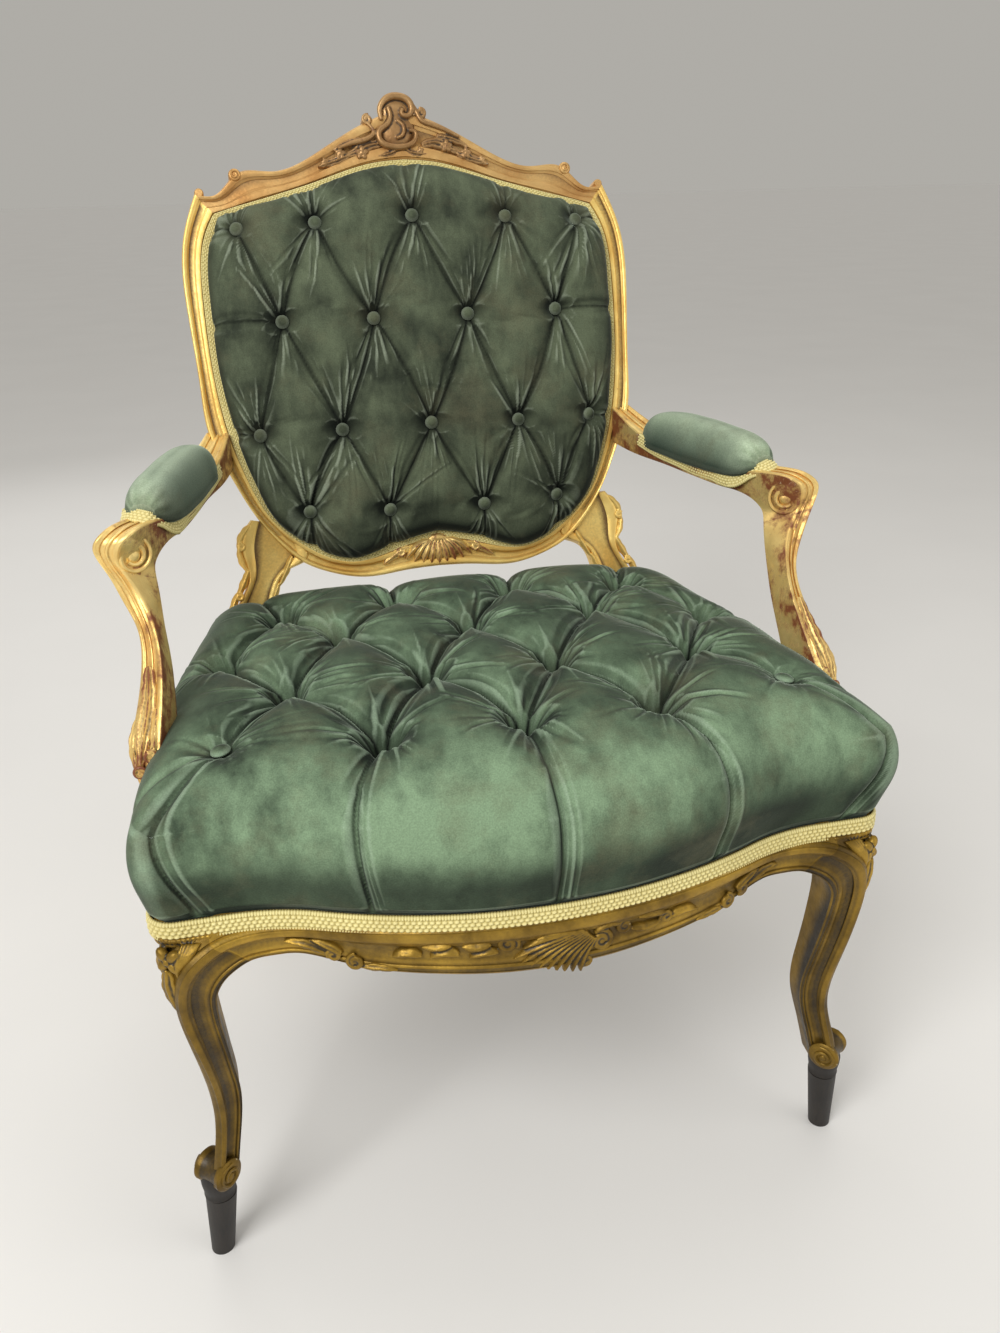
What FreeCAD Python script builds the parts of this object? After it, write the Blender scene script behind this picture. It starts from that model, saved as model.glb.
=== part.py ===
import FreeCAD, Part
import math
import os

# Carved and gilded open armchair with a deep-buttoned seat and back.
# Millimetres. +X is to the right as seen from the front, +Y points to the back, +Z is up.
# The model is drawn from the seat's own lines and moved at the end, so that the origin is on
# the floor in the middle of the chair's outer box.

V = FreeCAD.Vector

# Seat frame in plan
FRONT_HALF = 322.0
REAR_HALF = 258.0
FRONT_FLAT_Y = -244.0
FRONT_FLAT_X = 262.0
BOW_DEPTH = 55.0
BOW_RADIUS = 466.0
REAR_Y = 206.0
SIDE_BOW = 14.0
CORNER_RADIUS = 16.0
RAIL_THICK = 34.0
RAIL_TOP = 391.0
RAIL_BOTTOM = 340.0

# Apron under the front rail
APRON_CENTRE_Z = 329.0
APRON_HIP_X = 165.0
APRON_HIP_Z = 335.0
APRON_ARCH_X = 248.0
APRON_ARCH_Z = 346.0
APRON_END_Z = 337.0
SHELL_HALF = 62.0
SHELL_DROP = 17.0
SHELL_PROUD = 13.0
SHELL_SINK = 4.0
SHELL_LIFT = 12.0
SHELL_OVER = 6.0
HUSK_X = 96.0
HUSK_BACK = 12.0
HUSK_LIFT = 14.0
HUSK_RADII = (34.0, 9.0, 9.0)
HIP_LEAF_X = 174.0
HIP_LEAF_PROUD = 25.0
HIP_LEAF_LIFT = 8.0
HIP_LEAF_RADII = (26.0, 9.0, 10.0)
APRON_MARGIN = 4.0

# Legs and feet
LEG_HEAD = 45.0
POST_HEAD_X = 46.0
POST_HEAD_Y = 48.0
FOOT_HEIGHT = 77.0
FOOT_TOP_R = 14.5
FOOT_BOTTOM_R = 11.0
FOOT_SPIGOT_R = 8.0
FOOT_SPIGOT_LENGTH = 26.0
FRONT_FOOT_TOP = (307.0, -240.0)
FRONT_FOOT_BASE = (314.0, -235.0)
REAR_FOOT_TOP = (247.0, 258.0)
REAR_FOOT_BASE = (251.0, 272.0)
SOLE_Z = 112.0
SOLE_OVER = 8.0
COLLAR_LOW = 1.0
COLLAR_HIGH = 2.5
FOOT_BORE_OVER = 1.0
TOE_RADIUS = 18.0
TOE_WIDTH = 27.0
TOE_Z = 95.0
TOE_SHIFT = (1.0, -4.0)
KNEE_TOP = 374.0
SHOULDER_RADIUS = 36.0
SHOULDER_LOW = 302.0
SHOULDER_PROUD = 6.0
SHOULDER_RISE = 4.0
SHOULDER_IN = 5.0
SHOULDER_SAG = 0.34
KNEE_PROUD = 2.0
ROSETTE_AT = (-5.0, -9.0, 363.0)
ROSETTE_RADIUS = 15.0
KNEE_LEAF_AT = (-3.0, -4.0, 344.0)
KNEE_LEAF_RADII = (12.0, 14.0, 26.0)
BEAD = 5.0
BEAD_FLAT = 0.7
BEAD_TIP = 0.35
HOLLOW = 3.0
LEG_TWIST = 2.0

# Front leg's sections: height, arris from the outer corner, inner edge from the head's inner face, depth
LEG_STATIONS = [(KNEE_TOP, (-3, 0), (0, 0), 45), (352, (-8, -14), (1, -9), 49),
                (328, (-13, -15), (4, -11), 45), (300, (-15, -12), (6, -6), 42),
                (270, (-19, -9), (5, 0), 38), (238, (-23, -4), (3, 7), 33),
                (204, (-26, 2), (1, 14), 29), (171, (-27, 4), (1, 17), 27),
                (146, (-25, -1), (3, 12), 27), (SOLE_Z - SOLE_OVER, (-17, -10), (12, 0), 24)]

# Rear leg's sections: height, centre x and y, width, depth
REAR_LEG_STATIONS = [(352, 235, 184, 42, 42), (300, 236, 190, 38, 40), (250, 238, 205, 34, 36),
                     (200, 241, 224, 31, 32), (150, 244, 242, 29, 30), (SOLE_Z - SOLE_OVER, 247, 256, 30, 30)]

# Back, drawn flat in its own plane: x across, s up the slope, n forward from the frame's face
BACK_RAKE = 16.3
BACK_Y = 211.0
BACK_Z = 545.0
BACK_THICK = 32.0
BACK_HOLLOW = 4.0
RABBET_WIDTH = 15.0
RABBET_DEPTH = 11.0
CREST_TOP = 480.0
CARTOUCHE_TOP = 496.5
CARTOUCHE_PROUD = 9.0
CARTOUCHE_HALF = 30.0
CARTOUCHE_SINK = 12.0
CARTOUCHE_DEEP = 4.0
CURL_AT = (28.0, 470.0)
CURL_RADIUS = 9.0
CURL_LENGTH = 22.0
STEP_SCROLL_AT = (184.0, 411.0)
STEP_SCROLL_RADIUS = 7.0
STEP_SCROLL_LENGTH = 20.0
SCROLL_FLOOR = -18.0
CREST_LEAF_AT = (62.0, 445.0, -3.0)
CREST_LEAF_RADII = (30.0, 8.0, 7.0)
SILL_SHELL_AT = (0.0, -12.0, -5.0)
SILL_SHELL_RADII = (40.0, 19.0, 10.0)
OUTER_BEAD = 0.34
INNER_BEAD = 0.72

# Outer and inner lines of the back frame's members, (x, s), matched point for point
STILE_OUTER = [(232, 394), (247, 356), (254, 273), (250, 190), (245, 132), (229, 92), (208, 48), (190, 20)]
STILE_INNER = [(214, 372), (226, 350), (235, 280), (233, 200), (223, 130), (209, 84), (188, 40), (166, 16)]
SILL_OUTER = [(190, 20), (162, -10), (126, -28), (92, -36), (42, -33), (0, -31)]
SILL_INNER = [(166, 16), (134, -6), (104, -16), (80, -15), (38, -4), (0, 3)]
CREST_OUTER = [(232, 394), (212, 392), (184, 415), (148, 416), (114, 425), (78, 445), (40, 465),
               (0, CREST_TOP)]
CREST_INNER = [(214, 372), (196, 377), (166, 385), (136, 393), (104, 402), (70, 413), (34, 422), (0, 425)]

# Console under each stile, in the back's drawing
CONSOLE_OUTER = [(256, -168), (252, -110), (238, -58), (222, -24), (228, 10), (212, 40)]
CONSOLE_INNER = [(212, -168), (208, -110), (194, -54), (178, -22), (150, -8), (166, 30)]
CONSOLE_THICK = 27.0
CONSOLE_LIFT = 2.0

# Arms
ARM_LOW = 632.0
ARM_TOP = 650.0
PAD_HEIGHT = 38.0
VOLUTE_RADIUS = 25.0
VOLUTE_WIDTH = 34.0
VOLUTE_AT = (323.0, -20.0, 632.0)
VOLUTE_TURN = 28.6
VOLUTE_EYE_RADIUS = 11.0
VOLUTE_EYE_PROUD = 3.0
PAD_REAR = (262.0, 190.0)
PAD_FRONT = (305.0, 12.0)
PAD_WIDTH = 49.0
PAD_SWELL = 1.04
PAD_TURN = 0.97
PAD_SIDE = 0.42

# Arm: centre x and y, width, underside and top, from the stile to the hand
ARM_PATH = [(237, 250, 30, 637, 676), (252, 206, 38, 633, 660), (272, 155, 47, ARM_LOW, ARM_TOP),
            (283, 108, 50, ARM_LOW, ARM_TOP), (296, 52, 52, ARM_LOW, ARM_TOP),
            (310, -4, 48, ARM_LOW - 4, ARM_TOP + 2)]

# Arm pad: share of its length, of its width and of its height
PAD_STATIONS = [(0.04, 0.62, 0.30), (0.12, 0.86, 0.74), (0.30, 1.0, 0.96), (0.55, 1.0, 1.0),
                (0.80, 1.0, 0.96), (0.93, 0.9, 0.72), (0.985, 0.66, 0.30)]

# Arm support: height and the four corners of the level section there
SUPPORT_STATIONS = [(360, [(312, -182), (334, -176), (331, -143), (309, -146)]),
                    (391, [(306, -188), (335, -179), (329, -132), (298, -136)]),
                    (440, [(310, -172), (338, -160), (326, -118), (296, -122)]),
                    (480, [(309, -150), (335, -137), (322, -96), (294, -102)]),
                    (519, [(303, -123), (325, -103), (316, -66), (293, -77)]),
                    (545, [(300, -98), (318, -77), (314, -46), (294, -58)]),
                    (574, [(302, -73), (319, -58), (316, -30), (297, -38)]),
                    (600, [(312, -46), (331, -46), (320, -18), (298, -25)]),
                    (618, [(321, -40), (337, -44), (326, -12), (300, -21)])]

# Joinery
TENON_LENGTH = 22.0
TENON_THICK = 12.0
TENON_MARGIN = 8.0
TENON_FIT = 0.15
FRONT_TENON_INSET = 8.0
DOWEL_R = 4.0
DOWEL_LENGTH = 36.0
BACK_DOWEL_R = 3.5
BACK_DOWEL_LENGTH = 26.0
DOWEL_SHARES = (0.85, 1.4)
DOWEL_FIT = 0.1
DOWEL_END_GAP = 0.5
CREST_DOWEL_RUN = (22.0, -18.0)
SILL_DOWEL_RUN = (46.0, 57.0)
ARM_DOWEL_SHIFT = (-7.0, -8.0, 4.0)
PEG_R = 3.0
PEG_LENGTH = 34.0
PEG_SPREAD = 10.0
SCREW_R = 2.5
SCREW_HEAD_R = 5.0
SCREW_FIT = 0.1
BLOCK_SCREW = 36.0
ARM_SCREW = 56.0
SUPPORT_SCREW = 40.0
ARM_SCREW_AT = (233.0, 114.0)
SUPPORT_SCREW_Y = -147.0
SUPPORT_SCREW_Z = (366.0, 381.0)
BLOCK_LEG = 60.0
BLOCK_HEIGHT = 34.0
BLOCK_LIFT = 8.0
BLOCK_OVER = 14.0
BLOCK_SCREW_ALONG = 0.6
BLOCK_SCREW_IN = 0.34
APRON_LIP = 14.0

# Upholstery
LOFT_DEGREE = 3
GIMP_WIDTH = 17.0
GIMP_THICK = 2.4
GIMP_GAP = 0.2
GIMP_PROUD = 0.6
ARM_GIMP_WIDTH = 11.0
ARM_GIMP_LAP = 1.0
ARM_GIMP_OUT = 3.0
ARM_GIMP_REAR = 12.0
GIMP_SCRAP = 50.0
OUTSIDE_LAP = 9.0
OUTSIDE_GIMP_WIDTH = 10.0
SEAT_CROWN = 130.0
TUFT_FLOOR_R = 8.5
TUFT_MOUTH_R = 30.0
TUFT_FLARE = 5.5
TUFT_FLARE_SHARE = 0.62
SEAT_TUFT_DEPTH = 30.0
BACK_TUFT_DEPTH = 21.0
PLEAT_HALF = 6.0
SEAT_PLEAT_DEPTH = 11.0
BACK_PLEAT_DEPTH = 8.0
BUTTON_R = 7.5
BUTTON_HEIGHT = 6.0
BUTTON_FLAT_R = 1.5
BUTTON_RIM = 0.3
BUTTON_SHOULDER = (0.74, 0.8)
BACK_CROWN = 34.0
BACK_PAD_CLEAR = 9.5
WEB_WIDTH = 50.0
WEB_THICK = 1.5
WEB_PITCH_X = 85.0
WEB_PITCH_Y = 80.0
BACK_WEB_PITCH = 110.0
SPRING_HEIGHT = 92.0
SPRING_END_R = 38.0
SPRING_WAIST_R = 27.0
SPRING_WIRE_R = 1.9
SPRING_TURNS = 5
SPRING_STEPS = 8
SPRING_SEAT = 0.1
SPRING_PITCH_X = 128.0
SPRING_PITCH_Y = 104.0
SPRING_ROW_Y = -52.0
CANVAS_THICK = 1.5
CANVAS_GAP = 0.2
CANVAS_SPREAD = 0.006
CANVAS_FOOT = [(0.0, 0.94), (16.0, 0.90)]
CANVAS_CROWN = [(-8.0, 0.76), (0.0, 0.70)]
FIRST_STUFFING = 22.0
STUFFING_FOOT = [(0.2, 0.965), (24.0, 0.955)]
STUFFING_CROWN = [(-10.0, 0.84), (0.0, 0.74)]
CLOTH_THICK = 1.2
HESSIAN_INSET = 3.0
BACK_WEB_INSET = 4.0

# Seat top: share of the crown's height, scale of the seat plan there, and how far it leans forward
SEAT_SECTIONS = [(0.0, 0.988, 0), (0.16, 1.018, 6), (0.40, 1.03, 11), (0.64, 1.008, 9), (0.80, 0.955, 5),
                 (0.91, 0.85, 2), (0.97, 0.68, 0), (0.99, 0.52, 0), (1.0, 0.30, 0)]

# Back pad: share of the crown's height and scale of its outline there
BACK_SECTIONS = [(0.0, 0.985), (0.35, 1.0), (0.62, 0.975), (0.80, 0.91), (0.92, 0.80), (0.98, 0.62),
                 (1.0, 0.40)]

# Button places on the seat: (x, y) of one half, mirrored; and on the back: (x, s)
SEAT_TUFTS = [(0, -176), (128, -168), (252, -172), (64, -66), (194, -66), (0, 48), (134, 46), (250, 24),
              (62, 122), (182, 116)]
BACK_TUFTS = [(0, 360), (107, 358), (192, 352), (52, 250), (156, 250), (0, 132), (101, 130), (194, 132),
              (54, 36), (146, 40)]
PLEAT_REACH = 150.0
FRONT_ROW_BAND = 20.0
FRONT_PLEAT_FAN = 1.06
FRONT_BROW = 0.72
OVERCUT = 40.0
MOUTH_OVER = 6.0

# Lines that the parts share
SEAT_CENTRE_Y = (FRONT_FLAT_Y - BOW_DEPTH + REAR_Y) / 2
LEG_IN = FRONT_HALF - LEG_HEAD
LEG_BACK = FRONT_FLAT_Y + LEG_HEAD
POST_IN = REAR_HALF - POST_HEAD_X
POST_FRONT = REAR_Y - POST_HEAD_Y
FRONT_TENON_Y = FRONT_FLAT_Y + FRONT_TENON_INSET
SIDE_TENON_X = FRONT_HALF - RAIL_THICK / 2 - TENON_THICK / 2
SIDE_TENON_REAR_X = REAR_HALF - RAIL_THICK / 2 - TENON_THICK / 2
REAR_TENON_Y = REAR_Y - RAIL_THICK / 2 - TENON_THICK / 2
SPRING_TOP = RAIL_BOTTOM + SPRING_HEIGHT
FAR = 900.0

parts = {}


def box(x0, x1, y0, y1, z0, z1):
    return Part.makeBox(x1 - x0, y1 - y0, z1 - z0, V(x0, y0, z0))


def mirrored(shape):
    return shape.mirror(V(0, 0, 0), V(1, 0, 0))


def line(a, b):
    return Part.makeLine(a, b)


def arc(a, b, c):
    return Part.Arc(a, b, c).toShape()


def spline(points):
    curve = Part.BSplineCurve()
    curve.interpolate(points)
    return curve.toShape()


def prism(edges, direction):
    return Part.Face(Part.Wire(edges)).extrude(direction)


def cylinder(radius, start, end):
    return Part.makeCylinder(radius, (end - start).Length, start, end - start)


def ellipsoid(centre, rx, ry, rz):
    stretch = FreeCAD.Matrix()
    stretch.scale(V(rx, ry, rz))
    ball = Part.makeSphere(1.0).transformGeometry(stretch)
    ball.translate(centre)
    return ball


def solid(shape):
    return shape if shape.ShapeType == "Solid" else max(shape.Solids, key=lambda each: each.Volume)


def add_pair(name, shape):
    parts[name + "_right"] = shape
    parts[name + "_left"] = mirrored(shape)


# Seat plan: the outer face of the rails, or that line moved out by grow
def seat_plan(grow=0.0, z=0.0):
    swing = 2 * math.atan2(BOW_DEPTH, FRONT_FLAT_X)
    radii = FRONT_FLAT_X / math.sin(swing)
    bow_y = FRONT_FLAT_Y - BOW_DEPTH
    reverse_radius = radii - BOW_RADIUS
    bow_centre = V(0, bow_y + BOW_RADIUS, z)
    reverse_centre = V(FRONT_FLAT_X, FRONT_FLAT_Y - reverse_radius, z)
    meet = bow_centre + (reverse_centre - bow_centre) * ((BOW_RADIUS + grow) / radii)
    half = swing / 2
    reverse_mid = reverse_centre + V(-math.sin(half), math.cos(half), 0) * (reverse_radius - grow)
    flat = V(FRONT_FLAT_X, FRONT_FLAT_Y - grow, z)
    side_mid = V((FRONT_HALF + REAR_HALF) / 2 + SIDE_BOW + grow, (FRONT_FLAT_Y + REAR_Y) / 2, z)
    edges = [arc(V(-meet.x, meet.y, z), V(0, bow_y - grow, z), meet)]
    radius = CORNER_RADIUS + grow
    side = [arc(meet, reverse_mid, flat)]
    if radius > 1.0:
        front = V(FRONT_HALF - CORNER_RADIUS, FRONT_FLAT_Y + CORNER_RADIUS, z)
        rear = V(REAR_HALF - CORNER_RADIUS, REAR_Y - CORNER_RADIUS, z)
        lean = radius * math.sqrt(0.5)
        front_side = front + V(radius, 0, 0)
        rear_side = rear + V(radius, 0, 0)
        rear_end = rear + V(0, radius, 0)
        side.append(line(flat, front - V(0, radius, 0)))
        side.append(arc(front - V(0, radius, 0), front + V(lean, -lean, 0), front_side))
        side.append(arc(front_side, side_mid, rear_side))
        side.append(arc(rear_side, rear + V(lean, lean, 0), rear_end))
    else:
        front_side = V(FRONT_HALF + grow, FRONT_FLAT_Y - grow, z)
        rear_end = V(REAR_HALF + grow, REAR_Y + grow, z)
        side.append(line(flat, front_side))
        side.append(arc(front_side, side_mid, rear_end))
    edges.extend(side)
    edges.extend(mirrored(edge) for edge in side)
    edges.append(line(rear_end, V(-rear_end.x, rear_end.y, z)))
    return Part.Wire(Part.sortEdges(edges)[0])


def seat_slab(low, high, grow=0.0):
    return Part.Face(seat_plan(grow, low)).extrude(V(0, 0, high - low))


def scaled_plan(scale, z):
    wire = seat_plan().scaled(scale, V(0, SEAT_CENTRE_Y, 0))
    wire.translate(V(0, 0, z))
    return wire


# Back plane: flat drawing (x, s, n) to the chair
def to_back(shape):
    placed = shape.copy()
    turn = FreeCAD.Rotation(V(1, 0, 0), 90.0 - BACK_RAKE)
    placed.Placement = FreeCAD.Placement(V(0, BACK_Y, BACK_Z), turn).multiply(placed.Placement)
    return placed


def blend(outer, inner, t, n):
    return [V(o[0] + (i[0] - o[0]) * t, o[1] + (i[1] - o[1]) * t, n) for o, i in zip(outer, inner)]


def whole(points):
    return points + [V(-p.x, p.y, p.z) for p in reversed(points[:-1])]


def inset_line(outer, inner, distance, n):
    moved = []
    for o, i in zip(outer, inner):
        width = math.hypot(i[0] - o[0], i[1] - o[1])
        moved.append(V(i[0] + (i[0] - o[0]) * distance / width, i[1] + (i[1] - o[1]) * distance / width, n))
    return moved


def strip(first, second, depth):
    edges = [spline(first), line(first[-1], second[-1]), spline(list(reversed(second))),
             line(second[0], first[0])]
    return prism(edges, V(0, 0, depth))


def frame_member(outer, inner, symmetric):
    full = whole if symmetric else list
    rear = -BACK_THICK
    floor = -RABBET_DEPTH
    face = -BACK_HOLLOW

    def across(share, n):
        return full(blend(outer, inner, share, n))

    body = strip(across(0, rear), full(inset_line(outer, inner, RABBET_WIDTH, rear)), floor - rear)
    step = strip(across(0, floor), across(1, floor), face - floor)
    outer_bead = strip(across(0, face), across(OUTER_BEAD, face), BACK_HOLLOW)
    inner_bead = strip(across(INNER_BEAD, face), across(1, face), BACK_HOLLOW)
    return body.fuse([step, outer_bead, inner_bead]).removeSplitter()


# Moulded section of a leg: a beaded arris at the front outer corner and hollowed faces beside it
def leg_section(z, arris, inner, depth):
    a = V(arris[0], arris[1], z)
    i = V(inner[0], inner[1], z)
    o = a + V(0, depth, 0)
    b = i + V(LEG_TWIST, depth, 0)
    along = (a - i).normalize()
    back = V(0, 1, 0)
    within = V(-along.y, along.x, 0)
    p1 = i + along * (BEAD * BEAD_FLAT)
    p2 = a - along * BEAD
    tip = a + (along - back) * (BEAD * BEAD_TIP)
    p3 = a + back * BEAD
    p4 = o - back * (BEAD * BEAD_FLAT)
    front_mid = (p1 + p2) * 0.5 + within * HOLLOW
    side_mid = (p3 + p4) * 0.5 - V(HOLLOW, 0, 0)
    return Part.Wire([line(i, p1), arc(p1, front_mid, p2), arc(p2, tip, p3), arc(p3, side_mid, p4),
                      line(p4, o), line(o, b), line(b, i)])


def four_sided(z, corners):
    points = [V(x, y, z) for x, y in corners]
    return Part.Wire([line(points[k], points[(k + 1) % 4]) for k in range(4)])


def leg_foot(top, base):
    upper = Part.makeCircle(FOOT_TOP_R, V(top[0], top[1], FOOT_HEIGHT))
    lower = Part.makeCircle(FOOT_BOTTOM_R, V(base[0], base[1], 0))
    peg = Part.makeLoft([Part.Wire(upper), Part.Wire(lower)], True, True)
    spigot = Part.makeCylinder(FOOT_SPIGOT_R, FOOT_SPIGOT_LENGTH, V(top[0], top[1], FOOT_HEIGHT))
    return peg.fuse(spigot).removeSplitter()


def foot_bore(top):
    length = FOOT_SPIGOT_LENGTH + FOOT_BORE_OVER
    return Part.makeCylinder(FOOT_SPIGOT_R + TENON_FIT, length, V(top[0], top[1], FOOT_HEIGHT))


def foot_collar(top):
    at = V(top[0], top[1], FOOT_HEIGHT)
    return Part.makeCone(FOOT_TOP_R + COLLAR_LOW, FOOT_TOP_R + COLLAR_HIGH, SOLE_Z - FOOT_HEIGHT, at)


# Shoulder of the leg, hollowed on a quarter round that carries the apron's edge into the leg
def shoulder():
    x = LEG_IN + SHOULDER_IN
    y = FRONT_FLAT_Y - SHOULDER_PROUD
    top = APRON_END_Z + SHOULDER_RISE
    corner = V(x, y, SHOULDER_LOW)
    crown = V(x - SHOULDER_RADIUS, y, top)
    mid = V(x - SHOULDER_RADIUS * SHOULDER_SAG, y, top - (top - SHOULDER_LOW) * SHOULDER_SAG)
    peak = V(x, y, top)
    return prism([arc(corner, mid, crown), line(crown, peak), line(peak, corner)], V(0, RAIL_THICK, 0))


# Front legs: cabriole, on the diagonal, ending in a rolled toe
def front_leg():
    head = seat_slab(RAIL_BOTTOM, RAIL_TOP).common(box(LEG_IN, FAR, -FAR, LEG_BACK, 0, FAR))
    knee_front = FRONT_FLAT_Y - KNEE_PROUD
    wires = []
    for z, arris, inner, depth in LEG_STATIONS:
        wires.append(leg_section(z, (FRONT_HALF + arris[0], knee_front + arris[1]),
                                 (LEG_IN + inner[0], knee_front + inner[1]), depth))
    shaft = Part.makeLoft(wires, True, False)
    toe_axis = V(math.sqrt(0.5), math.sqrt(0.5), 0)
    toe_at = V(FRONT_FOOT_TOP[0] + TOE_SHIFT[0], FRONT_FOOT_TOP[1] + TOE_SHIFT[1], TOE_Z)
    toe = cylinder(TOE_RADIUS, toe_at - toe_axis * (TOE_WIDTH / 2), toe_at + toe_axis * (TOE_WIDTH / 2))
    corner = V(FRONT_HALF, FRONT_FLAT_Y, 0)
    rosette = ellipsoid(corner + V(*ROSETTE_AT), ROSETTE_RADIUS, ROSETTE_RADIUS, ROSETTE_RADIUS)
    leaf = ellipsoid(corner + V(*KNEE_LEAF_AT), *KNEE_LEAF_RADII)
    leg = head.fuse([shaft, toe, shoulder(), foot_collar(FRONT_FOOT_TOP), rosette, leaf])
    return leg.cut(foot_bore(FRONT_FOOT_TOP))


# Back posts: rear leg, console and back stile in one piece of wood
def rear_leg():
    head = seat_slab(RAIL_BOTTOM, RAIL_TOP).common(box(POST_IN, FAR, POST_FRONT, FAR, 0, FAR))
    wires = []
    for z, x, y, wide, deep in REAR_LEG_STATIONS:
        wires.append(four_sided(z, [(x - wide / 2, y - deep / 2), (x + wide / 2, y - deep / 2),
                                    (x + wide / 2, y + deep / 2), (x - wide / 2, y + deep / 2)]))
    shaft = Part.makeLoft(wires, True, False)
    return head.fuse([shaft, foot_collar(REAR_FOOT_TOP)]).cut(foot_bore(REAR_FOOT_TOP))


def console():
    rear = -BACK_THICK + CONSOLE_LIFT
    outer = [V(x, s, rear) for x, s in CONSOLE_OUTER]
    inner = [V(x, s, rear) for x, s in CONSOLE_INNER]
    edges = [spline(outer), line(outer[-1], inner[-1]), line(inner[-1], inner[-2]),
             spline(list(reversed(inner[:-1]))), line(inner[0], outer[0])]
    return to_back(prism(edges, V(0, 0, CONSOLE_THICK)))


def crest():
    rail = frame_member(CREST_OUTER, CREST_INNER, True)
    shield = ellipsoid(V(0, CREST_TOP - CARTOUCHE_SINK, -CARTOUCHE_DEEP), CARTOUCHE_HALF,
                       CARTOUCHE_TOP - CREST_TOP + CARTOUCHE_SINK, CARTOUCHE_PROUD + CARTOUCHE_DEEP)
    carving = [shield]
    for side in (-1, 1):
        curl_at = V(side * CURL_AT[0], CURL_AT[1], SCROLL_FLOOR)
        step_at = V(side * STEP_SCROLL_AT[0], STEP_SCROLL_AT[1], SCROLL_FLOOR)
        leaf_at = V(side * CREST_LEAF_AT[0], CREST_LEAF_AT[1], CREST_LEAF_AT[2])
        carving.append(Part.makeCylinder(CURL_RADIUS, CURL_LENGTH, curl_at))
        carving.append(ellipsoid(leaf_at, *CREST_LEAF_RADII))
        carving.append(Part.makeCylinder(STEP_SCROLL_RADIUS, STEP_SCROLL_LENGTH, step_at))
    return to_back(rail.fuse(carving))


def sill():
    rail = frame_member(SILL_OUTER, SILL_INNER, True)
    shell = ellipsoid(V(*SILL_SHELL_AT), *SILL_SHELL_RADII)
    return to_back(rail.fuse(shell))


def stile():
    return to_back(frame_member(STILE_OUTER, STILE_INNER, False))


# Rails with tenons into the legs and posts
def tenon(x0, x1, y0, y1, grow=0.0):
    low = RAIL_BOTTOM + TENON_MARGIN - grow
    high = RAIL_TOP - TENON_MARGIN + grow
    return box(x0 - grow, x1 + grow, y0 - grow, y1 + grow, low, high)


def front_tenon(grow=0.0):
    return tenon(LEG_IN, LEG_IN + TENON_LENGTH, FRONT_TENON_Y, FRONT_TENON_Y + TENON_THICK, grow)


def side_tenon(grow=0.0):
    return tenon(SIDE_TENON_X, SIDE_TENON_X + TENON_THICK, LEG_BACK - TENON_LENGTH, LEG_BACK, grow)


def side_rear_tenon(grow=0.0):
    return tenon(SIDE_TENON_REAR_X, SIDE_TENON_REAR_X + TENON_THICK, POST_FRONT, POST_FRONT + TENON_LENGTH,
                 grow)


def rear_tenon(grow=0.0):
    return tenon(POST_IN, POST_IN + TENON_LENGTH, REAR_TENON_Y, REAR_TENON_Y + TENON_THICK, grow)


def rail_ring(low):
    return seat_slab(low, RAIL_TOP).cut(seat_slab(low, RAIL_TOP, -RAIL_THICK))


def apron_cutter(low):
    half = [(LEG_IN, APRON_END_Z), (APRON_ARCH_X, APRON_ARCH_Z), (APRON_HIP_X, APRON_HIP_Z),
            (0, APRON_CENTRE_Z)]
    points = whole([V(x, -FAR, z) for x, z in half])
    right = V(LEG_IN, -FAR, low - 1)
    left = V(-LEG_IN, -FAR, low - 1)
    edges = [spline(points), line(points[-1], left), line(left, right), line(right, points[0])]
    return prism(edges, V(0, FAR, 0))


def front_rail():
    low = APRON_CENTRE_Z - APRON_MARGIN
    rail = rail_ring(low).common(box(-LEG_IN, LEG_IN, -FAR, 0, 0, FAR)).cut(apron_cutter(low))
    rail = rail.cut(seat_slab(low - 1, RAIL_BOTTOM, -APRON_LIP))
    bow_y = FRONT_FLAT_Y - BOW_DEPTH
    shell = ellipsoid(V(0, bow_y + SHELL_SINK, APRON_CENTRE_Z + SHELL_LIFT), SHELL_HALF,
                      SHELL_PROUD + SHELL_SINK, SHELL_DROP + SHELL_OVER)
    carving = [shell]
    for side in (-1, 1):
        husk_at = V(side * HUSK_X, bow_y + HUSK_BACK, APRON_CENTRE_Z + HUSK_LIFT)
        hip_at = V(side * HIP_LEAF_X, FRONT_FLAT_Y - HIP_LEAF_PROUD, APRON_HIP_Z + HIP_LEAF_LIFT)
        carving.append(ellipsoid(husk_at, *HUSK_RADII))
        carving.append(ellipsoid(hip_at, *HIP_LEAF_RADII))
    rail = rail.fuse(carving)
    inside = seat_slab(low - OVERCUT, RAIL_TOP, -RAIL_THICK)
    return rail.cut(inside).fuse([front_tenon(), mirrored(front_tenon())])


def side_rail():
    rail = rail_ring(RAIL_BOTTOM).common(box(0, FAR, LEG_BACK, POST_FRONT, 0, FAR))
    return rail.fuse([side_tenon(), side_rear_tenon()])


def rear_rail():
    rail = rail_ring(RAIL_BOTTOM).common(box(-POST_IN, POST_IN, 0, FAR, 0, FAR))
    return rail.fuse([rear_tenon(), mirrored(rear_tenon())])


# Arm supports: swept back from the side rail, drawn by the four corners of their level sections
def arm_support():
    return Part.makeLoft([four_sided(z, corners) for z, corners in SUPPORT_STATIONS], True, False)


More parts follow.
